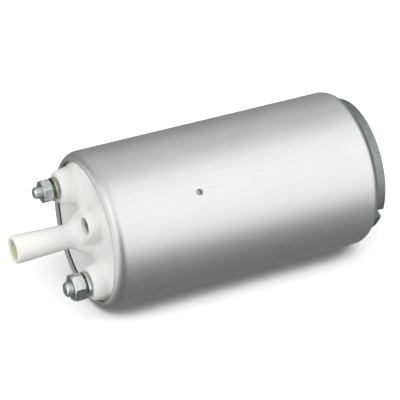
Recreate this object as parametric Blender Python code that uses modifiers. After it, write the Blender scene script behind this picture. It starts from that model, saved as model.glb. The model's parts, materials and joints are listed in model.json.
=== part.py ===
"""Electric fuel pump that stands inside the tank.

A rolled steel can clamps the stack of pieces from both ends: inlet cover, pump body,
flux ring, brush holder and outlet cover.  A vaned impeller runs between the inlet
cover and the pump body, the armature turns between two magnets, and the fuel leaves
past the check valve through the hose nozzle.

The pump stands on its inlet end: the origin is the centre of that face and +Z runs
along the rotor axis to the nozzle.  Lengths are in metres.
"""

import math

import bmesh
import bpy
from mathutils import Matrix, Vector

MM = 0.001

# Clearances
SEAT_GAP = 0.3 * MM
RUNNING_GAP = 0.05 * MM
THREAD_GAP = 0.1 * MM
AIR_GAP = 0.7 * MM

# How far a cutter reaches past a face, and a joined form into the one that carries it
OVERCUT = 1.0 * MM
SUNK = 1.0 * MM

# Can, rolled over both covers
CAN_RADIUS = 26.0 * MM
CAN_WALL = 1.2 * MM
CAN_LENGTH = 95.65 * MM
REAR_ROLL = 3.7 * MM
FRONT_ROLL = 4.0 * MM
FRONT_LIP_INSET = 2.6 * MM
DIMPLE_RADIUS = 1.1 * MM
DIMPLE_DEPTH = 0.5 * MM
DIMPLE_HEIGHT = 66.85 * MM
DIMPLE_ANGLE = math.radians(7.2)

# Inlet cover
INLET_PROUD = 3.3 * MM
INLET_FACE_INSET = 3.5 * MM
INLET_CHAMFER = 0.4 * MM
INLET_FLANGE = 2.0 * MM
NOTCH_WIDTH = 4.0 * MM
NOTCH_DEPTH = 2.8 * MM
NOTCH_ANGLE = math.radians(-53.6)
INLET_PORT_RADIUS = 4.2 * MM
INLET_PORT_DEPTH = 6.2 * MM
INLET_PORT_INSET = 1.0 * MM
INLET_PORT_ANGLE = math.radians(200.0)
STRAINER_PIN_RADIUS = 1.5 * MM
STRAINER_PIN_DEPTH = 4.0 * MM
STRAINER_PIN_INSET = 2.0 * MM
VENT_RADIUS = 0.7 * MM
THRUST_POCKET_MARGIN = 0.6 * MM
THRUST_POCKET_DEPTH = 3.6 * MM
THRUST_PAD_THICKNESS = 1.2 * MM

# Flow channel round the impeller's rim, in the inlet cover and in the pump body
CHANNEL_WIDTH = 3.4 * MM
CHANNEL_DEPTH = 1.5 * MM
CHANNEL_SPAN = math.radians(300.0)
CHANNEL_PORT_RADIUS = 1.6 * MM

# Impeller
IMPELLER_INSET = 8.0 * MM
IMPELLER_THICKNESS = 4.0 * MM
VANE_COUNT = 30
VANE_THICKNESS = 0.9 * MM
VANE_LENGTH = 3.0 * MM
VANE_WEB = 0.7 * MM
BALANCE_HOLES = 6
BALANCE_HOLE_RADIUS = 1.1 * MM

# Pump body
BODY_FLOOR = 3.0 * MM
BODY_RIM_HEIGHT = 2.5 * MM
BODY_RIM_WALL = 4.0 * MM
BODY_HUB_WALL = 1.95 * MM
BUSH_SHOULDER = 0.8 * MM
BUSH_CHAMFER = 0.3 * MM

# Rotor; the slots' shares are of the core's radius
SHAFT_RADIUS = 2.5 * MM
SHAFT_CHAMFER = 0.4 * MM
SHAFT_FLAT_DEPTH = 0.5 * MM
SHAFT_REACH = 1.2 * MM
BUSH_WALL = 1.8 * MM
BUSH_LENGTH = 7.0 * MM
CORE_SLOTS = 8
CORE_SLOT_SHARE = 0.16
CORE_SLOT_CIRCLE_SHARE = 0.69
CORE_SLOT_OPENING = 1.8 * MM
CORE_CLEARANCE = 1.5 * MM
WINDING_OUTER_INSET = 1.6 * MM
WINDING_INNER_INSET = 2.1 * MM
WINDING_OVERHANG = 6.0 * MM
WINDING_LEG_REACH = 1.7 * MM
WINDING_ROUND_SHARE = 0.45
COMMUTATOR_MARGIN = 1.0 * MM
COMMUTATOR_THICKNESS = 5.0 * MM
COMMUTATOR_SLOT = 0.6 * MM
COMMUTATOR_SLOT_DEPTH = 1.0 * MM
COMMUTATOR_HUB_MARGIN = 2.1 * MM
TANG_LENGTH = 1.2 * MM
TANG_WIDTH = 1.6 * MM
TANG_HEIGHT = 2.0 * MM

# Stator
FLUX_RING_WALL = 2.9 * MM
MAGNET_THICKNESS = 5.6 * MM
MAGNET_SPAN = math.radians(140.0)
MAGNET_OVERLAP = 4.0 * MM
CLIP_THICKNESS = 0.6 * MM
CLIP_REACH = 4.0 * MM

# Brush holder and brushes; a brush takes its share of the room between the hub and the core's rim
HOLDER_RIM_HEIGHT = 9.7 * MM
HOLDER_RIM_WALL = 2.4 * MM
HOLDER_PLATE = 3.0 * MM
HOLDER_PLATE_DROP = 0.5 * MM
HOLDER_HUB_WALL = 1.55 * MM
HOLDER_HUB_LIP = 0.4 * MM
HOLDER_WINDOW_MARGIN = 2.1 * MM
HOLDER_WINDOW_WIDTH = 5.6 * MM
HOLDER_WINDOW_SPAN = math.radians(96.0)
COMMUTATOR_DROP = 3.7 * MM
BRUSH_ROOM_SHARE = 0.5
BRUSH_WIDTH_SHARE = 0.9
BRUSH_LENGTH = 9.2 * MM
BRUSH_EDGE = 0.3 * MM
BRUSH_SPRING_INSET = 0.45 * MM
BRUSH_SPRING_WIRE = 0.25 * MM
BRUSH_SPRING_TURNS = 5
GUIDE_WALL = 0.9 * MM
GUIDE_LIFT = 1.3 * MM
GUIDE_LENGTH = 13.2 * MM

# Outlet cover
SKIRT_DEPTH = 18.65 * MM
SKIRT_WALL = 3.5 * MM
SKIRT_CORNER = 0.8 * MM
COVER_THICKNESS = 3.9 * MM
LAND_CHAMFER = 0.5 * MM
SEAL_SECTION = 1.4 * MM
SEAL_STEP_HEIGHT = 3.0 * MM
NOZZLE_TIP = 25.8 * MM
NOZZLE_RADIUS = 4.0 * MM
NOZZLE_WALL = 0.8 * MM
NOZZLE_BEAD = 0.65 * MM
NOZZLE_BEAD_LENGTH = 4.2 * MM
NOZZLE_BEAD_TAPER = 3.2 * MM
NOZZLE_CHAMFER = 0.6 * MM
NOZZLE_BORE_CHAMFER = 0.3 * MM
ROOT_RADIUS = 7.4 * MM
ROOT_FILLET = 5.5 * MM
ROOT_HEIGHT = 8.3 * MM
ROOT_STEP = 0.2 * MM

# Terminals
TERMINAL_ANGLE = math.radians(99.4)
BOSS_TOP_RADIUS = 5.6 * MM
BOSS_FOOT_RADIUS = 6.1 * MM
BOSS_ROUND = 0.9 * MM
BOSS_FILLET = 1.6 * MM
BOSS_MARGIN = 0.2 * MM
STUD_REACH = 7.95 * MM
STUD_CHAMFER = 0.5 * MM
STUD_HEAD_MARGIN = 1.0 * MM
STUD_HEAD_THICKNESS = 1.5 * MM
PLATE_THICKNESS = 1.0 * MM
PLATE_WIDTH = 7.0 * MM
PLATE_MARGIN = 1.0 * MM
WASHER_THICKNESS = 1.0 * MM
WASHER_GAP = math.radians(12.0)
WASHER_SPLIT = math.radians(-60.0)
NUT_CHAMFER = math.radians(30.0)
M4_BOSS_HEIGHT = 5.7 * MM
M4_BOSS_INSET = 1.3 * MM
M4_STUD_RADIUS = 2.0 * MM
M4_WASHER_RADIUS = 3.8 * MM
M4_WASHER_RISE = 0.7 * MM
M4_ACROSS_FLATS = 7.0 * MM
M4_NUT_HEIGHT = 3.2 * MM
M4_NUT_TURN = math.radians(3.0)
M5_BOSS_HEIGHT = 5.2 * MM
M5_BOSS_INSET = 0.7 * MM
M5_STUD_RADIUS = 2.5 * MM
M5_WASHER_RADIUS = 4.3 * MM
M5_WASHER_RISE = 0.35 * MM
M5_ACROSS_FLATS = 8.0 * MM
M5_NUT_HEIGHT = 4.0 * MM
M5_NUT_TURN = math.radians(-13.0)

# Outlet check valve, inside the root of the nozzle
CHECK_PORT_LENGTH = 2.7 * MM
POPPET_CLEARANCE = 0.6 * MM
POPPET_LAP = 0.8 * MM
POPPET_LENGTH = 4.0 * MM
POPPET_BLUNT = 0.3 * MM
POPPET_SHOULDER = 1.4 * MM
POPPET_SPIGOT_LENGTH = 1.0 * MM
CHECK_SPRING_LENGTH = 6.6 * MM
CHECK_SPRING_INSET = 0.6 * MM
CHECK_SPRING_WIRE = 0.22 * MM
CHECK_RETAINER_THICKNESS = 1.5 * MM
CHECK_RETAINER_HOLE_SHARE = 0.5
VALVE_SPRING_TURNS = 4

# Relief valve beside the nozzle
RELIEF_OFFSET = 11.0 * MM
RELIEF_ANGLE = math.radians(8.5)
RELIEF_HEIGHT = 4.4 * MM
RELIEF_RADIUS = 4.5 * MM
RELIEF_BACK_RADIUS = 5.0 * MM
RELIEF_ROUND = 0.7 * MM
RELIEF_DRAFT = 0.4 * MM
RELIEF_FILLET = 1.6 * MM
RELIEF_DROP = 4.7 * MM
RELIEF_DROP_RADIUS = 4.0 * MM
RELIEF_MOUTH_RADIUS = 2.9 * MM
RELIEF_MOUTH_DEPTH = 2.4 * MM
RELIEF_BORE_RADIUS = 2.3 * MM
RELIEF_PORT_RADIUS = 1.1 * MM
RELIEF_PORT_LENGTH = 1.1 * MM
RELIEF_BALL_RADIUS = 1.75 * MM
RELIEF_SPRING_RADIUS = 1.6 * MM
RELIEF_SPRING_WIRE = 0.2 * MM
RELIEF_RETAINER_THICKNESS = 0.9 * MM
RELIEF_RETAINER_HOLE = 1.2 * MM

# Facets
CAN_STEPS = 48
ROUND_STEPS = 36
STACK_STEPS = 28
MEDIUM_STEPS = 24
SMALL_STEPS = 18

# Radii, from the can inwards
CAN_BORE = CAN_RADIUS - CAN_WALL
STACK_RADIUS = CAN_BORE - SEAT_GAP
FRONT_LIP_RADIUS = CAN_RADIUS - FRONT_LIP_INSET
FRONT_CENTRE_RADIUS = CAN_RADIUS - FRONT_ROLL
NECK_RADIUS = FRONT_LIP_RADIUS - SEAT_GAP
LAND_RADIUS = NECK_RADIUS - LAND_CHAMFER
SHOULDER_RADIUS = FRONT_ROLL - CAN_WALL - SEAT_GAP
INLET_FACE_RADIUS = CAN_RADIUS - INLET_FACE_INSET
FLUX_BORE = STACK_RADIUS - FLUX_RING_WALL
MAGNET_OUTER = FLUX_BORE - SEAT_GAP
MAGNET_INNER = MAGNET_OUTER - MAGNET_THICKNESS
CORE_RADIUS = MAGNET_INNER - AIR_GAP
CORE_SLOT_RADIUS = CORE_RADIUS * CORE_SLOT_SHARE
CORE_SLOT_OFFSET = CORE_RADIUS * CORE_SLOT_CIRCLE_SHARE
SHAFT_FLAT = SHAFT_RADIUS - SHAFT_FLAT_DEPTH
BUSH_OUTER = SHAFT_RADIUS + RUNNING_GAP + BUSH_WALL
BUSH_SEAT = BUSH_OUTER + SEAT_GAP
BORE_ON_SHAFT = SHAFT_RADIUS + SEAT_GAP
WINDING_OUTER = CORE_RADIUS - WINDING_OUTER_INSET
WINDING_INNER = SHAFT_RADIUS + WINDING_INNER_INSET
HOLDER_HUB_RADIUS = BUSH_SEAT + HOLDER_HUB_WALL
BRUSH_DEPTH = (CORE_RADIUS - HOLDER_HUB_RADIUS) * BRUSH_ROOM_SHARE
BRUSH_WIDTH = BRUSH_DEPTH * BRUSH_WIDTH_SHARE
BRUSH_OFFSET = HOLDER_HUB_RADIUS + SEAT_GAP + BRUSH_DEPTH / 2.0
BRUSH_SPRING_RADIUS = BRUSH_WIDTH / 2.0 - BRUSH_SPRING_INSET
COMMUTATOR_RADIUS = BRUSH_OFFSET + BRUSH_DEPTH / 2.0 + COMMUTATOR_MARGIN
COMMUTATOR_HUB_RADIUS = BRUSH_OFFSET - BRUSH_DEPTH / 2.0 - COMMUTATOR_HUB_MARGIN
HOLDER_RIM_INNER = STACK_RADIUS - HOLDER_RIM_WALL
HOLDER_WINDOW_OUTER = HOLDER_RIM_INNER - HOLDER_WINDOW_MARGIN
HOLDER_WINDOW_INNER = HOLDER_WINDOW_OUTER - HOLDER_WINDOW_WIDTH
IMPELLER_RADIUS = STACK_RADIUS - IMPELLER_INSET
CHANNEL_RADIUS = IMPELLER_RADIUS - VANE_LENGTH / 2.0
BALANCE_HOLE_OFFSET = (BORE_ON_SHAFT + IMPELLER_RADIUS - VANE_LENGTH) / 2.0
INLET_PORT_OFFSET = CHANNEL_RADIUS - INLET_PORT_INSET
STRAINER_PIN_OFFSET = CHANNEL_RADIUS - STRAINER_PIN_INSET
THRUST_POCKET_RADIUS = SHAFT_RADIUS + THRUST_POCKET_MARGIN
NOZZLE_BEAD_RADIUS = NOZZLE_RADIUS + NOZZLE_BEAD
NOZZLE_BORE = NOZZLE_RADIUS - NOZZLE_WALL
POPPET_RADIUS = NOZZLE_BORE - POPPET_CLEARANCE
POPPET_SPIGOT_RADIUS = POPPET_RADIUS - POPPET_SHOULDER
CHECK_PORT_RADIUS = POPPET_RADIUS - POPPET_LAP
CHECK_SPRING_RADIUS = POPPET_RADIUS - CHECK_SPRING_INSET
PLATE_END = BRUSH_OFFSET - BRUSH_SPRING_RADIUS - PLATE_MARGIN
DIAGONAL_GAP = SEAT_GAP * math.sqrt(2.0)

# Levels along the axis, from the inlet face up
CAN_REAR = INLET_PROUD
CAN_FRONT = CAN_REAR + CAN_LENGTH
INLET_TOP = CAN_REAR + REAR_ROLL + INLET_FLANGE
BODY_BOTTOM = INLET_TOP + SEAT_GAP
IMPELLER_BOTTOM = INLET_TOP + SEAT_GAP
IMPELLER_TOP = IMPELLER_BOTTOM + IMPELLER_THICKNESS
CAVITY_TOP = IMPELLER_TOP + SEAT_GAP
FLOOR_TOP = CAVITY_TOP + BODY_FLOOR
BODY_TOP = FLOOR_TOP + BODY_RIM_HEIGHT
LOWER_BUSH_BOTTOM = CAVITY_TOP + BUSH_SHOULDER + SEAT_GAP
LOWER_BUSH_TOP = LOWER_BUSH_BOTTOM + BUSH_LENGTH
THRUST_POCKET_BOTTOM = INLET_TOP - THRUST_POCKET_DEPTH
THRUST_PAD_TOP = THRUST_POCKET_BOTTOM + SEAT_GAP + THRUST_PAD_THICKNESS
SHAFT_BOTTOM = THRUST_PAD_TOP + SEAT_GAP
SKIRT_BOTTOM = CAN_FRONT - SKIRT_DEPTH
HOLDER_TOP = SKIRT_BOTTOM - SEAT_GAP
HOLDER_BOTTOM = HOLDER_TOP - HOLDER_RIM_HEIGHT
FLUX_BOTTOM = BODY_TOP + SEAT_GAP
FLUX_TOP = HOLDER_BOTTOM - SEAT_GAP
COMMUTATOR_TOP = HOLDER_BOTTOM + COMMUTATOR_DROP
COMMUTATOR_BOTTOM = COMMUTATOR_TOP - COMMUTATOR_THICKNESS
CORE_BOTTOM = LOWER_BUSH_TOP + CORE_CLEARANCE + WINDING_OVERHANG
CORE_TOP = COMMUTATOR_BOTTOM - CORE_CLEARANCE - WINDING_OVERHANG
PLATE_TOP = HOLDER_TOP - HOLDER_PLATE_DROP
PLATE_BOTTOM = PLATE_TOP - HOLDER_PLATE
UPPER_BUSH_BOTTOM = PLATE_BOTTOM + BUSH_SHOULDER + SEAT_GAP
UPPER_BUSH_TOP = UPPER_BUSH_BOTTOM + BUSH_LENGTH
SHAFT_TOP = UPPER_BUSH_TOP + SHAFT_REACH
HUB_TOP = SHAFT_TOP + HOLDER_HUB_LIP
BRUSH_BOTTOM = COMMUTATOR_TOP + SEAT_GAP
BRUSH_TOP = BRUSH_BOTTOM + BRUSH_LENGTH
GUIDE_BOTTOM = COMMUTATOR_TOP + GUIDE_LIFT
GUIDE_TOP = GUIDE_BOTTOM + GUIDE_LENGTH
FRONT_CENTRE = CAN_FRONT - FRONT_ROLL
NECK_TURN = math.acos((NECK_RADIUS - FRONT_CENTRE_RADIUS) / SHOULDER_RADIUS)
LAND = FRONT_CENTRE + SHOULDER_RADIUS * math.sin(NECK_TURN)
ROOF = LAND - COVER_THICKNESS
NOZZLE_TOP = LAND + NOZZLE_TIP
TERMINAL_PLATE_TOP = ROOF - SEAT_GAP
TERMINAL_PLATE_BOTTOM = TERMINAL_PLATE_TOP - PLATE_THICKNESS
CHECK_SEAT = ROOF + CHECK_PORT_LENGTH
CHECK_BORE_BOTTOM = CHECK_SEAT + NOZZLE_BORE - CHECK_PORT_RADIUS
RELIEF_TOP = LAND + RELIEF_HEIGHT
RELIEF_MOUTH = RELIEF_TOP - RELIEF_MOUTH_DEPTH
RELIEF_BOTTOM = ROOF - RELIEF_DROP
RELIEF_SEAT = RELIEF_BOTTOM + RELIEF_PORT_LENGTH

# The two terminals; the smaller one has the yellow washer
TERMINALS = (
    {"name": "m4", "angle": TERMINAL_ANGLE, "boss": M4_BOSS_HEIGHT, "inset": M4_BOSS_INSET,
     "stud": M4_STUD_RADIUS, "washer": M4_WASHER_RADIUS, "rise": M4_WASHER_RISE,
     "across_flats": M4_ACROSS_FLATS, "nut": M4_NUT_HEIGHT, "turn": M4_NUT_TURN,
     "washer_finish": "yellow_zinc"},
    {"name": "m5", "angle": TERMINAL_ANGLE + math.pi, "boss": M5_BOSS_HEIGHT, "inset": M5_BOSS_INSET,
     "stud": M5_STUD_RADIUS, "washer": M5_WASHER_RADIUS, "rise": M5_WASHER_RISE,
     "across_flats": M5_ACROSS_FLATS, "nut": M5_NUT_HEIGHT, "turn": M5_NUT_TURN,
     "washer_finish": "zinc_plate"},
)

# Finishes: base colour, metallic, roughness
FINISHES = {
    "steel_can": ((0.62, 0.62, 0.61), 1.0, 0.34),
    "white_acetal": ((0.87, 0.87, 0.84), 0.0, 0.42),
    "die_cast": ((0.36, 0.40, 0.39), 0.8, 0.5),
    "zinc_plate": ((0.60, 0.64, 0.63), 1.0, 0.3),
    "yellow_zinc": ((0.50, 0.48, 0.34), 1.0, 0.4),
    "ground_steel": ((0.55, 0.55, 0.56), 1.0, 0.25),
    "spring_steel": ((0.45, 0.45, 0.46), 1.0, 0.35),
    "black_phenolic": ((0.05, 0.05, 0.05), 0.0, 0.5),
    "brown_phenolic": ((0.16, 0.09, 0.05), 0.0, 0.55),
    "sintered_bronze": ((0.45, 0.30, 0.15), 1.0, 0.55),
    "ferrite": ((0.08, 0.08, 0.09), 0.2, 0.6),
    "lamination": ((0.30, 0.31, 0.33), 0.9, 0.45),
    "enamelled_copper": ((0.48, 0.20, 0.08), 0.7, 0.35),
    "bare_copper": ((0.70, 0.36, 0.20), 1.0, 0.3),
    "carbon": ((0.04, 0.04, 0.045), 0.1, 0.6),
    "brass": ((0.70, 0.55, 0.25), 1.0, 0.3),
    "nitrile": ((0.02, 0.02, 0.02), 0.0, 0.7),
}


def clear_scene():
    """Remove every object, so that the script can be run again in an open file."""
    for item in list(bpy.data.objects):
        bpy.data.objects.remove(item, do_unlink=True)


def new_collection(name):
    collection = bpy.data.collections.new(name)
    bpy.context.scene.collection.children.link(collection)
    return collection


def place(name, data, location, turn):
    """Add an object to the cutters; a finished piece is moved out of there by finish()."""
    item = bpy.data.objects.new(name, data)
    item.location = location
    item.rotation_euler = (0.0, 0.0, turn)
    item.hide_render = True
    item.display_type = "WIRE"
    CUTTERS.objects.link(item)
    return item


def polar(radius, angle, height=0.0):
    return Vector((radius * math.cos(angle), radius * math.sin(angle), height))


def ring_of_spots(radius, count):
    return [polar(radius, 2.0 * math.pi * index / count) for index in range(count)]


def arc(centre, radius, start, end, steps=4):
    """Points of a round stretch from angle start to angle end."""
    points = []
    for index in range(steps + 1):
        angle = start + (end - start) * index / steps
        points.append((centre[0] + radius * math.cos(angle), centre[1] + radius * math.sin(angle)))
    return points


def turned(name, profile, steps=MEDIUM_STEPS, location=(0.0, 0.0, 0.0)):
    """Turn a profile of (radius, height) points, top to bottom down its outer side.

    A profile that starts and ends on the axis makes a solid; any other is closed into a ring.
    """
    mesh = bpy.data.meshes.new(name)
    rows = [(radius, 0.0, height) for radius, height in profile]
    edges = [(index, index + 1) for index in range(len(rows) - 1)]
    if profile[0][0] > 0.0 or profile[-1][0] > 0.0:
        edges.append((len(rows) - 1, 0))
    mesh.from_pydata(rows, edges, [])
    item = place(name, mesh, location, 0.0)
    screw = item.modifiers.new("Turn", "SCREW")
    screw.axis = "Z"
    screw.angle = 2.0 * math.pi
    screw.steps = steps
    screw.render_steps = steps
    screw.use_merge_vertices = True
    screw.merge_threshold = 0.001 * MM
    return item


def box(name, size, centre, turn=0.0, bevel=0.0):
    """A block with its true size in its mesh; bevel rounds all its edges."""
    mesh = bpy.data.meshes.new(name)
    cage = bmesh.new()
    bmesh.ops.create_cube(cage, size=1.0, matrix=Matrix.Diagonal((*size, 1.0)))
    cage.to_mesh(mesh)
    cage.free()
    item = place(name, mesh, centre, turn)
    if bevel > 0.0:
        edge = item.modifiers.new("Edges", "BEVEL")
        edge.width = bevel
        edge.segments = 1
    return item


def outline(name, loops, bottom, top, location=(0.0, 0.0, 0.0), turn=0.0):
    """A flat outline with its holes, as a filled curve extruded from bottom to top."""
    curve = bpy.data.curves.new(name, "CURVE")
    curve.dimensions = "2D"
    curve.fill_mode = "BOTH"
    curve.extrude = (top - bottom) / 2.0
    for loop in loops:
        spline = curve.splines.new("POLY")
        spline.points.add(len(loop) - 1)
        for point, (x, y) in zip(spline.points, loop):
            point.co = (x, y, 0.0, 1.0)
        spline.use_cyclic_u = True
    centre = Vector(location) + Vector((0.0, 0.0, (top + bottom) / 2.0))
    return meshed(place(name, curve, centre, turn))


def meshed(item):
    """Make a curve object a mesh object with its caps welded on."""
    bpy.context.view_layer.update()
    graph = bpy.context.evaluated_depsgraph_get()
    mesh = bpy.data.meshes.new_from_object(item.evaluated_get(graph))
    cage = bmesh.new()
    cage.from_mesh(mesh)
    bmesh.ops.remove_doubles(cage, verts=cage.verts, dist=0.001 * MM)
    bmesh.ops.recalc_face_normals(cage, faces=cage.faces)
    cage.to_mesh(mesh)
    cage.free()
    name = item.name
    placed = item.matrix_world.copy()
    bpy.data.objects.remove(item, do_unlink=True)
    solid = place(name, mesh, (0.0, 0.0, 0.0), 0.0)
    solid.matrix_world = placed
    return solid


def combine(item, other, operation):
    """Cut, join or intersect item with another object, which stays with the cutters."""
    step = item.modifiers.new(other.name, "BOOLEAN")
    step.operation = operation
    step.object = other
    step.solver = "EXACT"
    return item


def cut(item, *others):
    for other in others:
        combine(item, other, "DIFFERENCE")
    return item


def join(item, *others):
    for other in others:
        combine(item, other, "UNION")
    return item


def finish(item, finish_name, smooth_angle=35.0):
    """Bake the steps of a piece, shade it, give it its material and add it to the pump."""
    bpy.context.view_layer.update()
    graph = bpy.context.evaluated_depsgraph_get()
    mesh = bpy.data.meshes.new_from_object(item.evaluated_get(graph))
    item.modifiers.clear()
    item.data = mesh
    mesh.shade_smooth()
    mesh.set_sharp_from_angle(angle=math.radians(smooth_angle))
    colour, metallic, roughness = FINISHES[finish_name]
    material = bpy.data.materials.new(item.name)
    material.use_nodes = True
    shader = material.node_tree.nodes["Principled BSDF"]
    shader.inputs["Base Color"].default_value = (*colour, 1.0)
    shader.inputs["Metallic"].default_value = metallic
    shader.inputs["Roughness"].default_value = roughness
    mesh.materials.clear()
    mesh.materials.append(material)
    item.hide_render = False
    item.display_type = "TEXTURED"
    CUTTERS.objects.unlink(item)
    PUMP.objects.link(item)
    return item


def circle(radius, steps, centre=(0.0, 0.0), start=0.0):
    """Corner points of a round outline, on the same grid as a turned piece."""
    points = []
    for index in range(steps):
        angle = start + 2.0 * math.pi * index / steps
        points.append((centre[0] + radius * math.cos(angle), centre[1] + radius * math.sin(angle)))
    return points


def sector(inner, outer, middle, span, steps):
    """Outline of a ring sector around the axis."""
    low = middle - span / 2.0
    high = middle + span / 2.0
    return arc((0.0, 0.0), outer, low, high, steps) + arc((0.0, 0.0), inner, high, low, steps)


def post(name, radius, bottom, top, location=(0.0, 0.0, 0.0), steps=SMALL_STEPS):
    """A plain round bar or hole, capped at both ends."""
    return turned(name, [(0.0, top), (radius, top), (radius, bottom), (0.0, bottom)], steps, location)


def posts(name, radius, bottom, top, spots, steps=12):
    """Several round bars or holes of one size, in one mesh."""
    mesh = bpy.data.meshes.new(name)
    cage = bmesh.new()
    middle = (bottom + top) / 2.0
    for spot in spots:
        around = math.atan2(spot.y, spot.x) + math.pi / (2.0 * steps)
        matrix = Matrix.Translation((spot.x, spot.y, middle)) @ Matrix.Rotation(around, 4, "Z")
        bmesh.ops.create_cone(cage, cap_ends=True, segments=steps, radius1=radius, radius2=radius,
                              depth=top - bottom, matrix=matrix)
    cage.to_mesh(mesh)
    cage.free()
    return place(name, mesh, (0.0, 0.0, 0.0), 0.0)


def coil(name, radius, wire, turns, bottom, top, location, steps=8):
    """A compression spring between two levels, as a round wire on a helix."""
    curve = bpy.data.curves.new(name, "CURVE")
    curve.dimensions = "3D"
    curve.bevel_depth = wire
    curve.bevel_resolution = 1
    curve.use_fill_caps = True
    count = turns * steps + 1
    low = bottom + wire
    high = top - wire
    spline = curve.splines.new("POLY")
    spline.points.add(count - 1)
    for index, point in enumerate(spline.points):
        share = index / (count - 1)
        spot = polar(radius, 2.0 * math.pi * index / steps, low + (high - low) * coil_rise(share, turns))
        point.co = (*spot, 1.0)
    return meshed(place(name, curve, location, 0.0))


def coil_rise(share, turns):
    """Height along a spring with one close turn at each end, as a share of its length."""
    close = 1.0 / turns
    flat = 0.4 * close
    if share < close:
        return flat * share / close
    if share > 1.0 - close:
        return 1.0 - flat * (1.0 - share) / close
    return flat + (1.0 - 2.0 * flat) * (share - close) / (1.0 - 2.0 * close)


def can():
    """Steel tube with both ends rolled inwards and a small staking dimple."""
    rear_centre = (CAN_RADIUS - REAR_ROLL, CAN_REAR + REAR_ROLL)
    front_centre = (FRONT_CENTRE_RADIUS, FRONT_CENTRE)
    rear_lip = INLET_FACE_RADIUS + SEAT_GAP

    def lip_turn(lip, centre, roll):
        return math.acos((lip - centre[0]) / roll)

    front_out = lip_turn(FRONT_LIP_RADIUS, front_centre, FRONT_ROLL)
    front_in = lip_turn(FRONT_LIP_RADIUS, front_centre, FRONT_ROLL - CAN_WALL)
    rear_out = lip_turn(rear_lip, rear_centre, REAR_ROLL)
    rear_in = lip_turn(rear_lip, rear_centre, REAR_ROLL - CAN_WALL)
    profile = arc(front_centre, FRONT_ROLL, front_out, 0.0, 5)
    profile += arc(rear_centre, REAR_ROLL, 0.0, -rear_out, 4)
    profile += arc(rear_centre, REAR_ROLL - CAN_WALL, -rear_in, 0.0, 2)
    profile += arc(front_centre, FRONT_ROLL - CAN_WALL, 0.0, front_in, 2)
    shell = turned("can", profile, CAN_STEPS)
    ball_offset = (DIMPLE_RADIUS ** 2 - DIMPLE_DEPTH ** 2) / (2.0 * DIMPLE_DEPTH)
    ball_radius = ball_offset + DIMPLE_DEPTH
    mesh = bpy.data.meshes.new("dimple")
    cage = bmesh.new()
    bmesh.ops.create_uvsphere(cage, u_segments=12, v_segments=6, radius=ball_radius)
    cage.to_mesh(mesh)
    cage.free()
    dimple = place("dimple", mesh, polar(CAN_RADIUS + ball_offset, DIMPLE_ANGLE, DIMPLE_HEIGHT), 0.0)
    finish(cut(shell, dimple), "steel_can")


def channel_cutter(name, bottom, top):
    """The ring sector of the flow channel, from the inlet port on."""
    middle = INLET_PORT_ANGLE + CHANNEL_SPAN / 2.0
    inner = CHANNEL_RADIUS - CHANNEL_WIDTH / 2.0
    outer = CHANNEL_RADIUS + CHANNEL_WIDTH / 2.0
    return outline(name, [sector(inner, outer, middle, CHANNEL_SPAN, 18)], bottom, top)


def inlet_cover():
    """Die-cast end disc, clamped by its rounded shoulder, with the inlet port in its face."""
    centre = (CAN_RADIUS - REAR_ROLL, CAN_REAR + REAR_ROLL)
    shoulder = REAR_ROLL - CAN_WALL - SEAT_GAP
    turn = math.acos((INLET_FACE_RADIUS - centre[0]) / shoulder)
    profile = [(0.0, INLET_TOP), (STACK_RADIUS, INLET_TOP)]
    profile += arc(centre, shoulder, 0.0, -turn, 3)
    profile += [(INLET_FACE_RADIUS, INLET_CHAMFER), (INLET_FACE_RADIUS - INLET_CHAMFER, 0.0), (0.0, 0.0)]
    cover = turned("inlet_cover", profile, ROUND_STEPS)
    notch_radius = INLET_FACE_RADIUS - NOTCH_DEPTH / 2.0 + OVERCUT / 2.0
    notch_centre = polar(notch_radius, NOTCH_ANGLE, (CAN_REAR - OVERCUT) / 2.0)
    notch = box("notch", (NOTCH_DEPTH + OVERCUT, NOTCH_WIDTH, CAN_REAR + OVERCUT), notch_centre, NOTCH_ANGLE)
    port_centre = polar(INLET_PORT_OFFSET, INLET_PORT_ANGLE + CHANNEL_PORT_RADIUS / CHANNEL_RADIUS)
    port = post("inlet_port", INLET_PORT_RADIUS, -OVERCUT, INLET_PORT_DEPTH, port_centre, MEDIUM_STEPS)
    entry = polar(CHANNEL_RADIUS, INLET_PORT_ANGLE + CHANNEL_PORT_RADIUS / CHANNEL_RADIUS)
    throat = post("inlet_throat", CHANNEL_PORT_RADIUS, INLET_PORT_DEPTH - OVERCUT, INLET_TOP + OVERCUT, entry)
    channel = channel_cutter("inlet_channel", INLET_TOP - CHANNEL_DEPTH, INLET_TOP + OVERCUT)
    pin_centre = polar(STRAINER_PIN_OFFSET, INLET_PORT_ANGLE + math.pi)
    pin = post("strainer_pin_hole", STRAINER_PIN_RADIUS, -OVERCUT, STRAINER_PIN_DEPTH, pin_centre)
    vent_centre = polar(CHANNEL_RADIUS, INLET_PORT_ANGLE + CHANNEL_SPAN / 3.0)
    vent = post("vapour_vent", VENT_RADIUS, -OVERCUT, INLET_TOP - CHANNEL_DEPTH / 2.0, vent_centre, 12)
    pocket = post("thrust_pocket", THRUST_POCKET_RADIUS, THRUST_POCKET_BOTTOM, INLET_TOP + OVERCUT)
    finish(cut(cover, notch, port, throat, channel, pin, vent, pocket), "die_cast")


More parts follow.
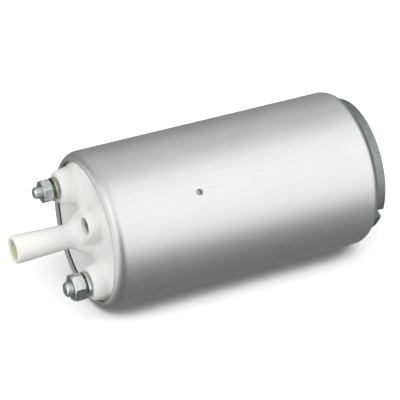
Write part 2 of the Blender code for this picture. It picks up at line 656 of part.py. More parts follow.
def pump_body():
    """Upper half of the pump chamber, with the impeller's cavity and the lower bearing's hub."""
    cavity = IMPELLER_RADIUS + SEAT_GAP
    rim_inner = STACK_RADIUS - BODY_RIM_WALL
    hub = BUSH_SEAT + BODY_HUB_WALL
    profile = [(BUSH_SEAT, LOWER_BUSH_TOP), (hub, LOWER_BUSH_TOP), (hub, FLOOR_TOP),
               (rim_inner, FLOOR_TOP), (rim_inner, BODY_TOP), (STACK_RADIUS, BODY_TOP),
               (STACK_RADIUS, BODY_BOTTOM), (cavity, BODY_BOTTOM), (cavity, CAVITY_TOP),
               (BORE_ON_SHAFT, CAVITY_TOP), (BORE_ON_SHAFT, LOWER_BUSH_BOTTOM - SEAT_GAP),
               (BUSH_SEAT, LOWER_BUSH_BOTTOM - SEAT_GAP)]
    body = turned("pump_body", profile, STACK_STEPS)
    channel = channel_cutter("body_channel", CAVITY_TOP - SEAT_GAP, CAVITY_TOP + CHANNEL_DEPTH)
    exit_angle = INLET_PORT_ANGLE + CHANNEL_SPAN - CHANNEL_PORT_RADIUS / CHANNEL_RADIUS
    exit_centre = polar(CHANNEL_RADIUS, exit_angle)
    outlet = post("chamber_outlet", CHANNEL_PORT_RADIUS, CAVITY_TOP, FLOOR_TOP + OVERCUT, exit_centre)
    finish(cut(body, channel, outlet), "die_cast")


def d_outline(radius, flat):
    """Round outline with one flat, at the distance flat from the centre along +X."""
    half = math.acos(flat / radius)
    return arc((0.0, 0.0), radius, half, 2.0 * math.pi - half, 22)


def impeller():
    """Moulded disc with pockets cut into both faces of its rim, which leave the vanes."""
    disc_profile = [(0.0, IMPELLER_TOP), (IMPELLER_RADIUS, IMPELLER_TOP),
                    (IMPELLER_RADIUS, IMPELLER_BOTTOM), (0.0, IMPELLER_BOTTOM)]
    disc = turned("impeller", disc_profile, VANE_COUNT * 2)
    depth = (IMPELLER_THICKNESS - VANE_WEB) / 2.0
    width = 2.0 * math.pi * CHANNEL_RADIUS / VANE_COUNT - VANE_THICKNESS
    mesh = bpy.data.meshes.new("vane_pockets")
    cage = bmesh.new()
    size = Matrix.Diagonal((VANE_LENGTH + OVERCUT, width, depth + OVERCUT, 1.0))
    shift = (OVERCUT - depth) / 2.0
    for middle in (IMPELLER_TOP + shift, IMPELLER_BOTTOM - shift):
        for index in range(VANE_COUNT):
            angle = 2.0 * math.pi * (index + 0.5) / VANE_COUNT
            spot = Matrix.Translation(polar(CHANNEL_RADIUS + OVERCUT / 2.0, angle, middle))
            bmesh.ops.create_cube(cage, size=1.0, matrix=spot @ Matrix.Rotation(angle, 4, "Z") @ size)
    cage.to_mesh(mesh)
    cage.free()
    pockets = place("vane_pockets", mesh, (0.0, 0.0, 0.0), 0.0)
    low = IMPELLER_BOTTOM - OVERCUT
    high = IMPELLER_TOP + OVERCUT
    bore = outline("impeller_bore", [d_outline(BORE_ON_SHAFT, SHAFT_FLAT + SEAT_GAP)], low, high)
    cut(disc, pockets, bore)
    spots = ring_of_spots(BALANCE_HOLE_OFFSET, BALANCE_HOLES)
    cut(disc, posts("balance_holes", BALANCE_HOLE_RADIUS, low, high, spots, 10))
    finish(disc, "black_phenolic")


def rotor_shaft():
    """Ground steel shaft, with a flat where it drives the impeller."""
    inner = SHAFT_RADIUS - SHAFT_CHAMFER
    profile = [(0.0, SHAFT_TOP), (inner, SHAFT_TOP), (SHAFT_RADIUS, SHAFT_TOP - SHAFT_CHAMFER),
               (SHAFT_RADIUS, SHAFT_BOTTOM + SHAFT_CHAMFER), (inner, SHAFT_BOTTOM), (0.0, SHAFT_BOTTOM)]
    shaft = turned("rotor_shaft", profile, MEDIUM_STEPS)
    height = IMPELLER_TOP - SHAFT_BOTTOM + OVERCUT
    centre = (SHAFT_FLAT + SHAFT_RADIUS / 2.0, 0.0, IMPELLER_TOP - height / 2.0)
    size = (SHAFT_RADIUS, SHAFT_RADIUS * 3.0, height)
    finish(cut(shaft, box("drive_flat", size, centre)), "ground_steel")


def bush(name, bottom):
    """Sintered bronze bearing bush, in which the shaft turns."""
    bore = SHAFT_RADIUS + RUNNING_GAP
    top = bottom + BUSH_LENGTH
    profile = [(bore, top), (BUSH_OUTER - BUSH_CHAMFER, top), (BUSH_OUTER, top - BUSH_CHAMFER),
               (BUSH_OUTER, bottom), (bore, bottom)]
    finish(turned(name, profile, MEDIUM_STEPS), "sintered_bronze")


def thrust_pad():
    """Hard steel button that carries the end of the shaft."""
    radius = THRUST_POCKET_RADIUS - SEAT_GAP
    pad = post("thrust_pad", radius, THRUST_POCKET_BOTTOM + SEAT_GAP, THRUST_PAD_TOP)
    finish(pad, "ground_steel")


def armature_core():
    """Stack of laminations with round slots that open at the rim."""
    half_opening = math.asin(CORE_SLOT_OPENING / 2.0 / CORE_RADIUS)
    half_mouth = math.asin(CORE_SLOT_OPENING / 2.0 / CORE_SLOT_RADIUS)
    pitch = 2.0 * math.pi / CORE_SLOTS
    points = []
    for index in range(CORE_SLOTS):
        middle = index * pitch
        slot = polar(CORE_SLOT_OFFSET, middle)
        round_slot = arc((slot.x, slot.y), CORE_SLOT_RADIUS, middle - half_mouth,
                         middle - 2.0 * math.pi + half_mouth, 7)
        points += round_slot
        points += arc((0.0, 0.0), CORE_RADIUS, middle + half_opening, middle + pitch - half_opening, 3)
    hole = circle(BORE_ON_SHAFT, MEDIUM_STEPS)
    finish(outline("armature_core", [points, hole], CORE_BOTTOM, CORE_TOP), "lamination")


def winding_ring(name, bottom, top):
    """The bundled end turns beyond the core, as a rounded ring."""
    middle = (bottom + top) / 2.0
    half = (top - bottom) / 2.0
    corner = half * WINDING_ROUND_SHARE
    profile = arc((WINDING_OUTER - corner, middle + half - corner), corner, math.pi / 2.0, 0.0, 2)
    profile += arc((WINDING_OUTER - corner, middle - half + corner), corner, 0.0, -math.pi / 2.0, 2)
    profile += [(WINDING_INNER, bottom), (WINDING_INNER, top)]
    return turned(name, profile, MEDIUM_STEPS)


def armature_windings():
    """Copper windings: a leg through each slot, joined by the end turns."""
    wire = CORE_SLOT_RADIUS - SEAT_GAP
    low = winding_ring("armature_windings", CORE_BOTTOM - WINDING_OVERHANG, CORE_BOTTOM - SEAT_GAP)
    high = winding_ring("upper_end_turns", CORE_TOP + SEAT_GAP, CORE_TOP + WINDING_OVERHANG)
    spots = ring_of_spots(CORE_SLOT_OFFSET, CORE_SLOTS)
    legs = posts("slot_legs", wire, CORE_BOTTOM - WINDING_LEG_REACH, CORE_TOP + WINDING_LEG_REACH, spots, 10)
    finish(join(low, high, legs), "enamelled_copper")


def commutator():
    """Flat commutator: the brushes run on its upper face, which radial slots divide."""
    profile = [(BORE_ON_SHAFT, COMMUTATOR_TOP), (COMMUTATOR_RADIUS, COMMUTATOR_TOP),
               (COMMUTATOR_RADIUS, COMMUTATOR_BOTTOM), (BORE_ON_SHAFT, COMMUTATOR_BOTTOM)]
    disc = turned("commutator", profile, MEDIUM_STEPS)
    for index in range(CORE_SLOTS):
        angle = 2.0 * math.pi * (index + 0.5) / CORE_SLOTS
        tang_radius = COMMUTATOR_RADIUS + (TANG_LENGTH - SUNK) / 2.0
        tang_centre = polar(tang_radius, angle, COMMUTATOR_BOTTOM + TANG_HEIGHT)
        join(disc, box("tang", (TANG_LENGTH + SUNK, TANG_WIDTH, TANG_HEIGHT), tang_centre, angle))
    length = COMMUTATOR_RADIUS - COMMUTATOR_HUB_RADIUS + OVERCUT
    height = COMMUTATOR_SLOT_DEPTH + OVERCUT
    for index in range(CORE_SLOTS):
        angle = 2.0 * math.pi * index / CORE_SLOTS
        spot = polar(COMMUTATOR_HUB_RADIUS + length / 2.0, angle, COMMUTATOR_TOP + OVERCUT - height / 2.0)
        cut(disc, box("segment_slot", (length, COMMUTATOR_SLOT, height), spot, angle))
    finish(disc, "bare_copper")


def flux_ring():
    """Soft steel sleeve that closes the magnets' circuit and spaces the stack."""
    profile = [(FLUX_BORE, FLUX_TOP), (STACK_RADIUS, FLUX_TOP),
               (STACK_RADIUS, FLUX_BOTTOM), (FLUX_BORE, FLUX_BOTTOM)]
    finish(turned("flux_ring", profile, STACK_STEPS), "lamination")


def magnets():
    """Two ferrite arcs, one each side of the armature, with their edges rounded."""
    for name, middle in (("magnet_near", 0.0), ("magnet_far", math.pi)):
        shape = sector(MAGNET_INNER, MAGNET_OUTER, middle, MAGNET_SPAN, 12)
        finish(outline(name, [shape], CORE_BOTTOM - MAGNET_OVERLAP, CORE_TOP + MAGNET_OVERLAP), "ferrite")


def magnet_clips():
    """Spring clips between the magnets' edges, which press them apart against the sleeve."""
    half = (math.pi - MAGNET_SPAN) / 2.0
    shift = SEAT_GAP + CLIP_THICKNESS / 2.0
    back = FLUX_BORE - SEAT_GAP - CLIP_THICKNESS / 2.0
    root = math.sqrt(back ** 2 - shift ** 2)
    bottom = CORE_BOTTOM
    top = CORE_TOP
    for name, middle in (("magnet_clip_upper", math.pi / 2.0), ("magnet_clip_lower", -math.pi / 2.0)):
        line = []
        for side in (1.0, -1.0):
            along = Vector((math.cos(middle + side * half), math.sin(middle + side * half)))
            across = Vector((along.y, -along.x)) * side
            leg = [along * (root - CLIP_REACH) + across * shift, along * root + across * shift]
            line.append(leg if side > 0.0 else leg[::-1])
        start = math.atan2(line[0][1].y, line[0][1].x)
        end = math.atan2(line[1][0].y, line[1][0].x)
        bow = arc((0.0, 0.0), back, start, end, 6)
        path = [tuple(line[0][0])] + bow + [tuple(line[1][1])]
        mesh = bpy.data.meshes.new(name)
        rows = [(x, y, bottom) for x, y in path] + [(x, y, top) for x, y in path]
        count = len(path)
        faces = [(i, i + 1, i + 1 + count, i + count) for i in range(count - 1)]
        mesh.from_pydata(rows, [], faces)
        clip = place(name, mesh, (0.0, 0.0, 0.0), 0.0)
        sheet = clip.modifiers.new("Strip", "SOLIDIFY")
        sheet.thickness = CLIP_THICKNESS
        sheet.offset = 0.0
        sheet.use_even_offset = True
        finish(clip, "spring_steel")


def brush_holder():
    """Moulded carrier of the upper bearing and of both brush guides, open for the fuel."""
    profile = [(BUSH_SEAT, HUB_TOP), (HOLDER_HUB_RADIUS, HUB_TOP), (HOLDER_HUB_RADIUS, PLATE_TOP),
               (HOLDER_RIM_INNER, PLATE_TOP), (HOLDER_RIM_INNER, HOLDER_TOP), (STACK_RADIUS, HOLDER_TOP),
               (STACK_RADIUS, HOLDER_BOTTOM), (HOLDER_RIM_INNER, HOLDER_BOTTOM),
               (HOLDER_RIM_INNER, PLATE_BOTTOM), (BORE_ON_SHAFT, PLATE_BOTTOM),
               (BORE_ON_SHAFT, PLATE_BOTTOM + BUSH_SHOULDER),
               (BUSH_SEAT, PLATE_BOTTOM + BUSH_SHOULDER)]
    holder = turned("brush_holder", profile, STACK_STEPS)
    depth = BRUSH_DEPTH + 2.0 * SEAT_GAP
    width = BRUSH_WIDTH + 2.0 * SEAT_GAP
    middle = (GUIDE_TOP + GUIDE_BOTTOM) / 2.0
    pockets = []
    for terminal in TERMINALS:
        centre = polar(BRUSH_OFFSET, terminal["angle"], middle)
        size = (depth + 2.0 * GUIDE_WALL, width + 2.0 * GUIDE_WALL, GUIDE_LENGTH)
        join(holder, box("brush_guide", size, centre, terminal["angle"]))
        pockets.append(box("brush_pocket", (depth, width, GUIDE_LENGTH + OVERCUT), centre, terminal["angle"]))
    bore = post("bearing_bore", BUSH_SEAT, UPPER_BUSH_BOTTOM - SEAT_GAP, HUB_TOP + OVERCUT, steps=STACK_STEPS)
    cut(holder, bore, *pockets)
    for index in range(2):
        window_middle = TERMINAL_ANGLE + math.pi * (index + 0.5)
        window = sector(HOLDER_WINDOW_INNER, HOLDER_WINDOW_OUTER, window_middle, HOLDER_WINDOW_SPAN, 8)
        cut(holder, outline("fuel_window", [window], PLATE_BOTTOM - OVERCUT, PLATE_TOP + OVERCUT))
    finish(holder, "brown_phenolic")


def brushes():
    """Carbon brushes and the springs that press them onto the commutator."""
    for name, terminal in (("upper", TERMINALS[0]), ("lower", TERMINALS[1])):
        angle = terminal["angle"]
        centre = polar(BRUSH_OFFSET, angle, (BRUSH_TOP + BRUSH_BOTTOM) / 2.0)
        block = box("brush_" + name, (BRUSH_DEPTH, BRUSH_WIDTH, BRUSH_LENGTH), centre, angle, bevel=BRUSH_EDGE)
        finish(block, "carbon", 60.0)
        spring = coil("brush_spring_" + name, BRUSH_SPRING_RADIUS, BRUSH_SPRING_WIRE, BRUSH_SPRING_TURNS,
                      BRUSH_TOP + SEAT_GAP, TERMINAL_PLATE_BOTTOM - SEAT_GAP, polar(BRUSH_OFFSET, angle))
        finish(spring, "spring_steel")


def terminal_spot(terminal):
    """Centre of a terminal's boss, just inside the can's lip."""
    return polar(FRONT_LIP_RADIUS - BOSS_FOOT_RADIUS - terminal["inset"], terminal["angle"])


def flank(height, edge, fillet, draft):
    """Steps down the side of a moulded form, as (how far it stands out, level) points.

    The top edge is rounded, the side is drafted, and the foot runs out into the land.
    """
    top = LAND + height
    points = arc((-edge, top - edge), edge, math.pi / 2.0, 0.0, 3)
    foot = LAND + fillet * 0.95
    points += arc((draft + fillet, foot), fillet, math.pi, math.pi + math.radians(80.0), 4)
    points.append((points[-1][0], LAND - SUNK))
    return points


def terminal_boss(terminal):
    """A drafted round boss with a rounded top edge, trimmed where its foot meets the lip."""
    draft = BOSS_FOOT_RADIUS - BOSS_TOP_RADIUS
    side = flank(terminal["boss"], BOSS_ROUND, BOSS_FILLET, draft)
    profile = [(0.0, side[0][1])] + [(BOSS_TOP_RADIUS + out, level) for out, level in side]
    profile.append((0.0, side[-1][1]))
    boss = turned("terminal_boss", profile, MEDIUM_STEPS, terminal_spot(terminal))
    room = post("boss_room", LAND_RADIUS - BOSS_MARGIN, LAND - SUNK * 2.0, NOZZLE_TOP)
    return combine(boss, room, "INTERSECT")


def relief_tower():
    """Tower of the relief valve, lofted level by level round the valve and the nozzle's root."""
    mesh = bpy.data.meshes.new("relief_tower")
    cage = bmesh.new()
    rings = []
    for out, level in flank(RELIEF_HEIGHT, RELIEF_ROUND, RELIEF_FILLET, RELIEF_DRAFT):
        front = RELIEF_RADIUS + out
        back = RELIEF_BACK_RADIUS + out
        tangent = math.acos((back - front) / RELIEF_OFFSET)
        loop = arc((RELIEF_OFFSET, 0.0), front, -tangent, tangent, 12)
        loop += arc((0.0, 0.0), back, tangent, 2.0 * math.pi - tangent, 8)
        rings.append([cage.verts.new((x, y, level)) for x, y in loop])
    cage.faces.new(rings[0])
    cage.faces.new(rings[-1][::-1])
    for upper, lower in zip(rings, rings[1:]):
        for index in range(len(upper)):
            after = (index + 1) % len(upper)
            cage.faces.new((upper[index], lower[index], lower[after], upper[after]))
    bmesh.ops.recalc_face_normals(cage, faces=cage.faces)
    cage.to_mesh(mesh)
    cage.free()
    return place("relief_tower", mesh, (0.0, 0.0, 0.0), RELIEF_ANGLE)


def outlet_cover():
    """Moulded cover: skirt, land, hose nozzle, two terminal bosses and the relief valve's tower."""
    root_centre = (NOZZLE_RADIUS + ROOT_FILLET, LAND + ROOT_HEIGHT)
    root_turn = math.acos(1.0 - (ROOT_RADIUS - ROOT_STEP - NOZZLE_RADIUS) / ROOT_FILLET)
    seal_step = STACK_RADIUS - SEAL_SECTION - SEAT_GAP
    skirt_inner = STACK_RADIUS - SKIRT_WALL
    bead_start = NOZZLE_TOP - NOZZLE_BEAD_LENGTH
    seal_top = SKIRT_BOTTOM + SEAL_STEP_HEIGHT
    profile = [(0.0, NOZZLE_TOP), (NOZZLE_BEAD_RADIUS - NOZZLE_CHAMFER, NOZZLE_TOP),
               (NOZZLE_BEAD_RADIUS, NOZZLE_TOP - NOZZLE_CHAMFER), (NOZZLE_BEAD_RADIUS, bead_start),
               (NOZZLE_RADIUS, bead_start - NOZZLE_BEAD_TAPER)]
    profile += arc(root_centre, ROOT_FILLET, math.pi, math.pi + root_turn, 5)
    profile += [(ROOT_RADIUS, LAND), (LAND_RADIUS, LAND), (NECK_RADIUS, LAND - LAND_CHAMFER)]
    profile += arc((FRONT_CENTRE_RADIUS, FRONT_CENTRE), SHOULDER_RADIUS, NECK_TURN, 0.0, 4)[2:]
    profile += [(STACK_RADIUS, seal_top), (seal_step, seal_top), (seal_step, SKIRT_BOTTOM),
                (skirt_inner, SKIRT_BOTTOM), (skirt_inner, ROOF - SKIRT_CORNER), (skirt_inner - SKIRT_CORNER, ROOF),
                (0.0, ROOF)]
    cover = turned("outlet_cover", profile, ROUND_STEPS)
    relief_spot = polar(RELIEF_OFFSET, RELIEF_ANGLE)
    housing = post("relief_housing", RELIEF_DROP_RADIUS, RELIEF_BOTTOM, ROOF + SUNK, relief_spot, MEDIUM_STEPS)
    join(cover, relief_tower(), housing)
    flare = NOZZLE_BORE + NOZZLE_BORE_CHAMFER + OVERCUT
    holes = [turned("nozzle_bore", [
        (0.0, NOZZLE_TOP + OVERCUT), (flare, NOZZLE_TOP + OVERCUT), (NOZZLE_BORE, NOZZLE_TOP - NOZZLE_BORE_CHAMFER),
        (NOZZLE_BORE, CHECK_BORE_BOTTOM), (CHECK_PORT_RADIUS, CHECK_SEAT), (CHECK_PORT_RADIUS, ROOF - OVERCUT),
        (0.0, ROOF - OVERCUT)], MEDIUM_STEPS)]
    for terminal in TERMINALS:
        join(cover, terminal_boss(terminal))
        holes.append(posts("stud_hole", terminal["stud"] + SEAT_GAP, ROOF - OVERCUT,
                           LAND + terminal["boss"] + OVERCUT, [terminal_spot(terminal)], 20))
    seat_end = RELIEF_SEAT + RELIEF_BORE_RADIUS - RELIEF_PORT_RADIUS
    relief_bore = turned("relief_bore", [
        (0.0, NOZZLE_TOP), (RELIEF_MOUTH_RADIUS, NOZZLE_TOP), (RELIEF_MOUTH_RADIUS, RELIEF_MOUTH),
        (RELIEF_BORE_RADIUS, RELIEF_MOUTH), (RELIEF_BORE_RADIUS, seat_end), (RELIEF_PORT_RADIUS, RELIEF_SEAT),
        (RELIEF_PORT_RADIUS, RELIEF_BOTTOM - OVERCUT), (0.0, RELIEF_BOTTOM - OVERCUT)], SMALL_STEPS, relief_spot)
    finish(cut(cover, relief_bore, *holes), "white_acetal")
    seal_middle = CAN_BORE - SEAT_GAP - SEAL_SECTION / 2.0
    section = arc((seal_middle, SKIRT_BOTTOM + SEAL_STEP_HEIGHT / 2.0), SEAL_SECTION / 2.0,
                  math.pi / 2.0, -1.5 * math.pi + math.pi / 3.0, 5)
    finish(turned("cover_seal", section, STACK_STEPS), "nitrile")


def terminals():
    """Studs, brass plates, split lock washers and nuts of both terminals."""
    for terminal in TERMINALS:
        name = terminal["name"]
        spot = terminal_spot(terminal)
        radius = terminal["stud"]
        boss_top = LAND + terminal["boss"]
        tip = boss_top + STUD_REACH
        head_top = TERMINAL_PLATE_BOTTOM - SEAT_GAP
        head_bottom = head_top - STUD_HEAD_THICKNESS
        head = radius + STUD_HEAD_MARGIN
        profile = [(0.0, tip), (radius - STUD_CHAMFER, tip), (radius, tip - STUD_CHAMFER), (radius, head_top),
                   (head, head_top), (head, head_bottom), (0.0, head_bottom)]
        finish(turned("terminal_stud_" + name, profile, SMALL_STEPS, spot), "zinc_plate")

        half_width = PLATE_WIDTH / 2.0
        outer_end = (spot.length, 0.0)
        shape = [(PLATE_END, -half_width)] + arc(outer_end, half_width, -math.pi / 2.0, math.pi / 2.0, 8)
        shape.append((PLATE_END, half_width))
        plate = outline("terminal_plate_" + name, [shape, circle(radius + SEAT_GAP, SMALL_STEPS, outer_end)],
                        TERMINAL_PLATE_BOTTOM, TERMINAL_PLATE_TOP, turn=terminal["angle"])
        finish(plate, "brass")

        washer_bottom = boss_top + SEAT_GAP
        lock_washer(terminal, washer_bottom, spot)
        nut(terminal, washer_bottom + WASHER_THICKNESS + terminal["rise"] + SEAT_GAP, spot)


def lock_washer(terminal, bottom, spot):
    """Split spring washer: a square wire wound once, its ends apart in height."""
    name = "lock_washer_" + terminal["name"]
    inner = terminal["stud"] + SEAT_GAP
    half_wall = (terminal["washer"] - inner) / 2.0
    half_height = WASHER_THICKNESS / 2.0
    section = bpy.data.curves.new(name + "_section", "CURVE")
    section.dimensions = "2D"
    frame = section.splines.new("POLY")
    frame.points.add(3)
    corners = ((-half_wall, -half_height), (half_wall, -half_height), (half_wall, half_height), (-half_wall, half_height))
    for point, (x, y) in zip(frame.points, corners):
        point.co = (x, y, 0.0, 1.0)
    frame.use_cyclic_u = True
    section_item = place(name + "_section", section, (0.0, 0.0, 0.0), 0.0)
    curve = bpy.data.curves.new(name, "CURVE")
    curve.dimensions = "3D"
    curve.bevel_mode = "OBJECT"
    curve.bevel_object = section_item
    curve.use_fill_caps = True
    curve.twist_mode = "Z_UP"
    steps = 17
    start = WASHER_SPLIT + WASHER_GAP / 2.0
    span = 2.0 * math.pi - WASHER_GAP
    spline = curve.splines.new("POLY")
    spline.points.add(steps)
    for index, point in enumerate(spline.points):
        share = index / steps
        level = half_height + terminal["rise"] * share
        point.co = (*polar(inner + half_wall, start + span * share, level), 1.0)
    washer = meshed(place(name, curve, spot + Vector((0.0, 0.0, bottom)), 0.0))
    finish(washer, terminal["washer_finish"])


def nut(terminal, bottom, spot):
    """Hexagon nut with its corners chamfered at both ends."""
    name = "terminal_nut_" + terminal["name"]
    top = bottom + terminal["nut"]
    flat_radius = terminal["across_flats"] / 2.0
    corner_radius = flat_radius / math.cos(math.pi / 6.0)
    past = corner_radius + OVERCUT
    drop = (past - flat_radius) * math.tan(NUT_CHAMFER)
    hexagon = circle(corner_radius, 6)
    hole = circle(terminal["stud"] + THREAD_GAP, SMALL_STEPS)
    body = outline(name, [hexagon, hole], bottom, top, spot, terminal["turn"])
    cone = turned(name + "_chamfer", [(0.0, top), (flat_radius, top), (past, top - drop), (past, bottom + drop),
                                      (flat_radius, bottom), (0.0, bottom)], MEDIUM_STEPS, spot)
    finish(combine(body, cone, "INTERSECT"), "zinc_plate", 25.0)


def check_valve():
    """Poppet, spring and pressed retainer inside the root of the nozzle."""
    nose = CHECK_SEAT + DIAGONAL_GAP
    body_low = nose + POPPET_RADIUS - CHECK_PORT_RADIUS
    top = body_low + POPPET_LENGTH
    spigot = top + POPPET_SPIGOT_LENGTH
    profile = [(0.0, spigot), (POPPET_SPIGOT_RADIUS, spigot), (POPPET_SPIGOT_RADIUS, top), (POPPET_RADIUS, top),
               (POPPET_RADIUS, body_low), (CHECK_PORT_RADIUS - POPPET_BLUNT, nose - POPPET_BLUNT),
               (0.0, nose - POPPET_BLUNT)]
    finish(turned("check_valve_poppet", profile, SMALL_STEPS), "nitrile")
    spring_bottom = top + SEAT_GAP
    spring_top = spring_bottom + CHECK_SPRING_LENGTH
    spring = coil("check_valve_spring", CHECK_SPRING_RADIUS, CHECK_SPRING_WIRE, VALVE_SPRING_TURNS,
                  spring_bottom, spring_top, (0.0, 0.0, 0.0))
    finish(spring, "spring_steel")
    low = spring_top + SEAT_GAP
    high = low + CHECK_RETAINER_THICKNESS
    outer = NOZZLE_BORE - SEAT_GAP
    hole = NOZZLE_BORE * CHECK_RETAINER_HOLE_SHARE
    ring = turned("check_valve_retainer", [(hole, high), (outer, high), (outer, low), (hole, low)], SMALL_STEPS)
    finish(ring, "brass")


def relief_valve():
    """Ball, spring and pressed retainer in the tower beside the nozzle."""
    spot = polar(RELIEF_OFFSET, RELIEF_ANGLE)
    apex = RELIEF_SEAT - RELIEF_PORT_RADIUS
    centre = apex + RELIEF_BALL_RADIUS * math.sqrt(2.0) + DIAGONAL_GAP
    mesh = bpy.data.meshes.new("relief_valve_ball")
    cage = bmesh.new()
    bmesh.ops.create_uvsphere(cage, u_segments=12, v_segments=8, radius=RELIEF_BALL_RADIUS)
    cage.to_mesh(mesh)
    cage.free()
    finish(place("relief_valve_ball", mesh, spot + Vector((0.0, 0.0, centre)), 0.0), "ground_steel", 60.0)
    spring = coil("relief_valve_spring", RELIEF_SPRING_RADIUS, RELIEF_SPRING_WIRE, VALVE_SPRING_TURNS,
                  centre + RELIEF_BALL_RADIUS + SEAT_GAP, RELIEF_MOUTH, spot)
    finish(spring, "spring_steel")
    low = RELIEF_MOUTH + SEAT_GAP
    high = low + RELIEF_RETAINER_THICKNESS
    outer = RELIEF_MOUTH_RADIUS - SEAT_GAP
    ring = turned("relief_valve_retainer", [(RELIEF_RETAINER_HOLE, high), (outer, high), (outer, low),
                                            (RELIEF_RETAINER_HOLE, low)], SMALL_STEPS, spot)
    finish(ring, "spring_steel")


clear_scene()
PUMP = new_collection("Fuel pump")
CUTTERS = new_collection("Cutters")

can()
inlet_cover()
pump_body()
impeller()
rotor_shaft()
bush("lower_bush", LOWER_BUSH_BOTTOM)
bush("upper_bush", UPPER_BUSH_BOTTOM)
thrust_pad()
armature_core()
armature_windings()
commutator()
flux_ring()
magnets()
magnet_clips()
brush_holder()
brushes()
outlet_cover()
terminals()
check_valve()
relief_valve()
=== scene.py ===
"""Looks of the electric fuel pump: fine surfaces, threads, finishes, light and camera.

Lengths are in metres in the model's own frame: the pump stands on its inlet end, and +Z
runs to the nozzle.  The camera is rolled, so that the pump lies in the picture.
"""

import json
import math

import bmesh
import bpy
from mathutils import Matrix, Vector


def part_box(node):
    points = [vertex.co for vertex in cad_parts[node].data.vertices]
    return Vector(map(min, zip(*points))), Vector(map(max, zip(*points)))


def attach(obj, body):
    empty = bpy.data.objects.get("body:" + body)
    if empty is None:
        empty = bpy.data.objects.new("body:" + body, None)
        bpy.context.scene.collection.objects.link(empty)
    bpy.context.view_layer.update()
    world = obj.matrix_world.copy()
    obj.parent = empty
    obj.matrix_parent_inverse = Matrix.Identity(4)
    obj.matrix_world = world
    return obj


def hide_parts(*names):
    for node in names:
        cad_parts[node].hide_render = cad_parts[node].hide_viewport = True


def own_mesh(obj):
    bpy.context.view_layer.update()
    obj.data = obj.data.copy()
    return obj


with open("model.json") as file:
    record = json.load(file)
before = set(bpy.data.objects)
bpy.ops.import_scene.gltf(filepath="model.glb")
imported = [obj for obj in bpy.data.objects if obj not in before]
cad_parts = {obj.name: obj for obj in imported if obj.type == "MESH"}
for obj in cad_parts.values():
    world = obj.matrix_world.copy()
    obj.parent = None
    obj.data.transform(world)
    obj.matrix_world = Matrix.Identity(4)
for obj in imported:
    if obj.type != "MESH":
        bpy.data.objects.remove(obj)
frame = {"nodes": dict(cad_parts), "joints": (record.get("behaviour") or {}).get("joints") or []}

MM = 0.001
NODES = frame["nodes"]
bpy.context.view_layer.update()

# Levels and radii read from the frame
CAN_LOW, CAN_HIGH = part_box("can")
CAN_RADIUS = CAN_HIGH.x
CAN_REAR = CAN_LOW.z
CAN_FRONT = CAN_HIGH.z
SKIRT_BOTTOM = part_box("outlet_cover")[0].z
NOZZLE_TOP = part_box("outlet_cover")[1].z

# Rolled ends of the can, and the staking dimple in its side
CAN_WALL = 1.2 * MM
REAR_ROLL = 3.7 * MM
FRONT_ROLL = 4.0 * MM
FRONT_LIP_RADIUS = 23.4 * MM
LIP_EDGE = 0.25 * MM
DIMPLE_RADIUS = 1.1 * MM
DIMPLE_DEPTH = 0.75 * MM
DIMPLE_HEIGHT = 66.85 * MM
DIMPLE_ANGLE = math.radians(7.2)

# Outlet cover; its skirt hides in the can, and only what stands above it is made finely
SEAT_GAP = 0.3 * MM
LAND = NOZZLE_TOP - 25.8 * MM
ROOF = LAND - 3.9 * MM
UPPER_CUT = LAND - 2.0 * MM
NECK_RADIUS = FRONT_LIP_RADIUS - SEAT_GAP
LAND_CHAMFER = 0.5 * MM
LAND_RADIUS = NECK_RADIUS - LAND_CHAMFER
SHOULDER_RADIUS = FRONT_ROLL - CAN_WALL - SEAT_GAP

# Nozzle: it tapers from its end to the root, which flares out to the foot on the land
NOZZLE_RADIUS = 4.0 * MM
NOZZLE_END_RADIUS = 4.65 * MM
NOZZLE_BORE = 3.2 * MM
NOZZLE_EDGE = 0.6 * MM
BORE_CHAMFER = 0.4 * MM
BORE_MARGIN = 1.0 * MM
ROOT_FILLET = 5.5 * MM
ROOT_HEIGHT = 8.3 * MM
ROOT_TURN = math.radians(50.0)
FOOT_FILLET = 2.4 * MM
FOOT_RADIUS = 7.0 * MM
FOOT_TURN = math.radians(20.0)

# Tower round the relief valve; its foot has the same fillet as those of the bosses
RELIEF_ANGLE = math.radians(8.5)
RELIEF_OFFSET = 11.0 * MM
RELIEF_HEIGHT = 4.4 * MM
RELIEF_MOUTH = 2.9 * MM
TOWER_FRONT = 4.5 * MM
TOWER_BACK = 5.0 * MM
TOWER_EDGE = 1.3 * MM
TOWER_DRAFT = 0.4 * MM
FORM_FILLET = 1.6 * MM
FORM_TURN = math.radians(80.0)

# Blending of the cover's joins; the last three are heights over the land in millimetres
VOXEL = 0.28 * MM
BLEND_PASSES = 64
BLEND_LEAST = 0.2
BLEND_LOWEST = -0.3
BLEND_FULL_TO = 3.0
BLEND_FADE = 6.0

# Terminals: stud radius and pitch, distance and angle of the axis, height of the boss, outer
# radius of the washer and rise between its ends, flats, height and turn of the nut
TERMINAL_ANGLE = math.radians(99.4)
M4 = {"name": "m4", "stud": 2.0 * MM, "pitch": 0.7 * MM, "offset": 16.0 * MM,
      "angle": TERMINAL_ANGLE, "boss": 5.7 * MM, "washer": 3.8 * MM, "rise": 0.7 * MM,
      "flats": 7.0 * MM, "nut": 3.2 * MM, "turn": math.radians(3.0)}
M5 = {"name": "m5", "stud": 2.5 * MM, "pitch": 0.8 * MM, "offset": 16.6 * MM,
      "angle": TERMINAL_ANGLE + math.pi, "boss": 5.2 * MM, "washer": 4.3 * MM, "rise": 0.35 * MM,
      "flats": 8.0 * MM, "nut": 4.0 * MM, "turn": math.radians(-13.0)}
BOSS_TOP_RADIUS = 5.6 * MM
BOSS_FOOT_RADIUS = 6.1 * MM
BOSS_EDGE = 0.9 * MM
STUD_REACH = 7.95 * MM
STUD_TIP = 0.55 * MM
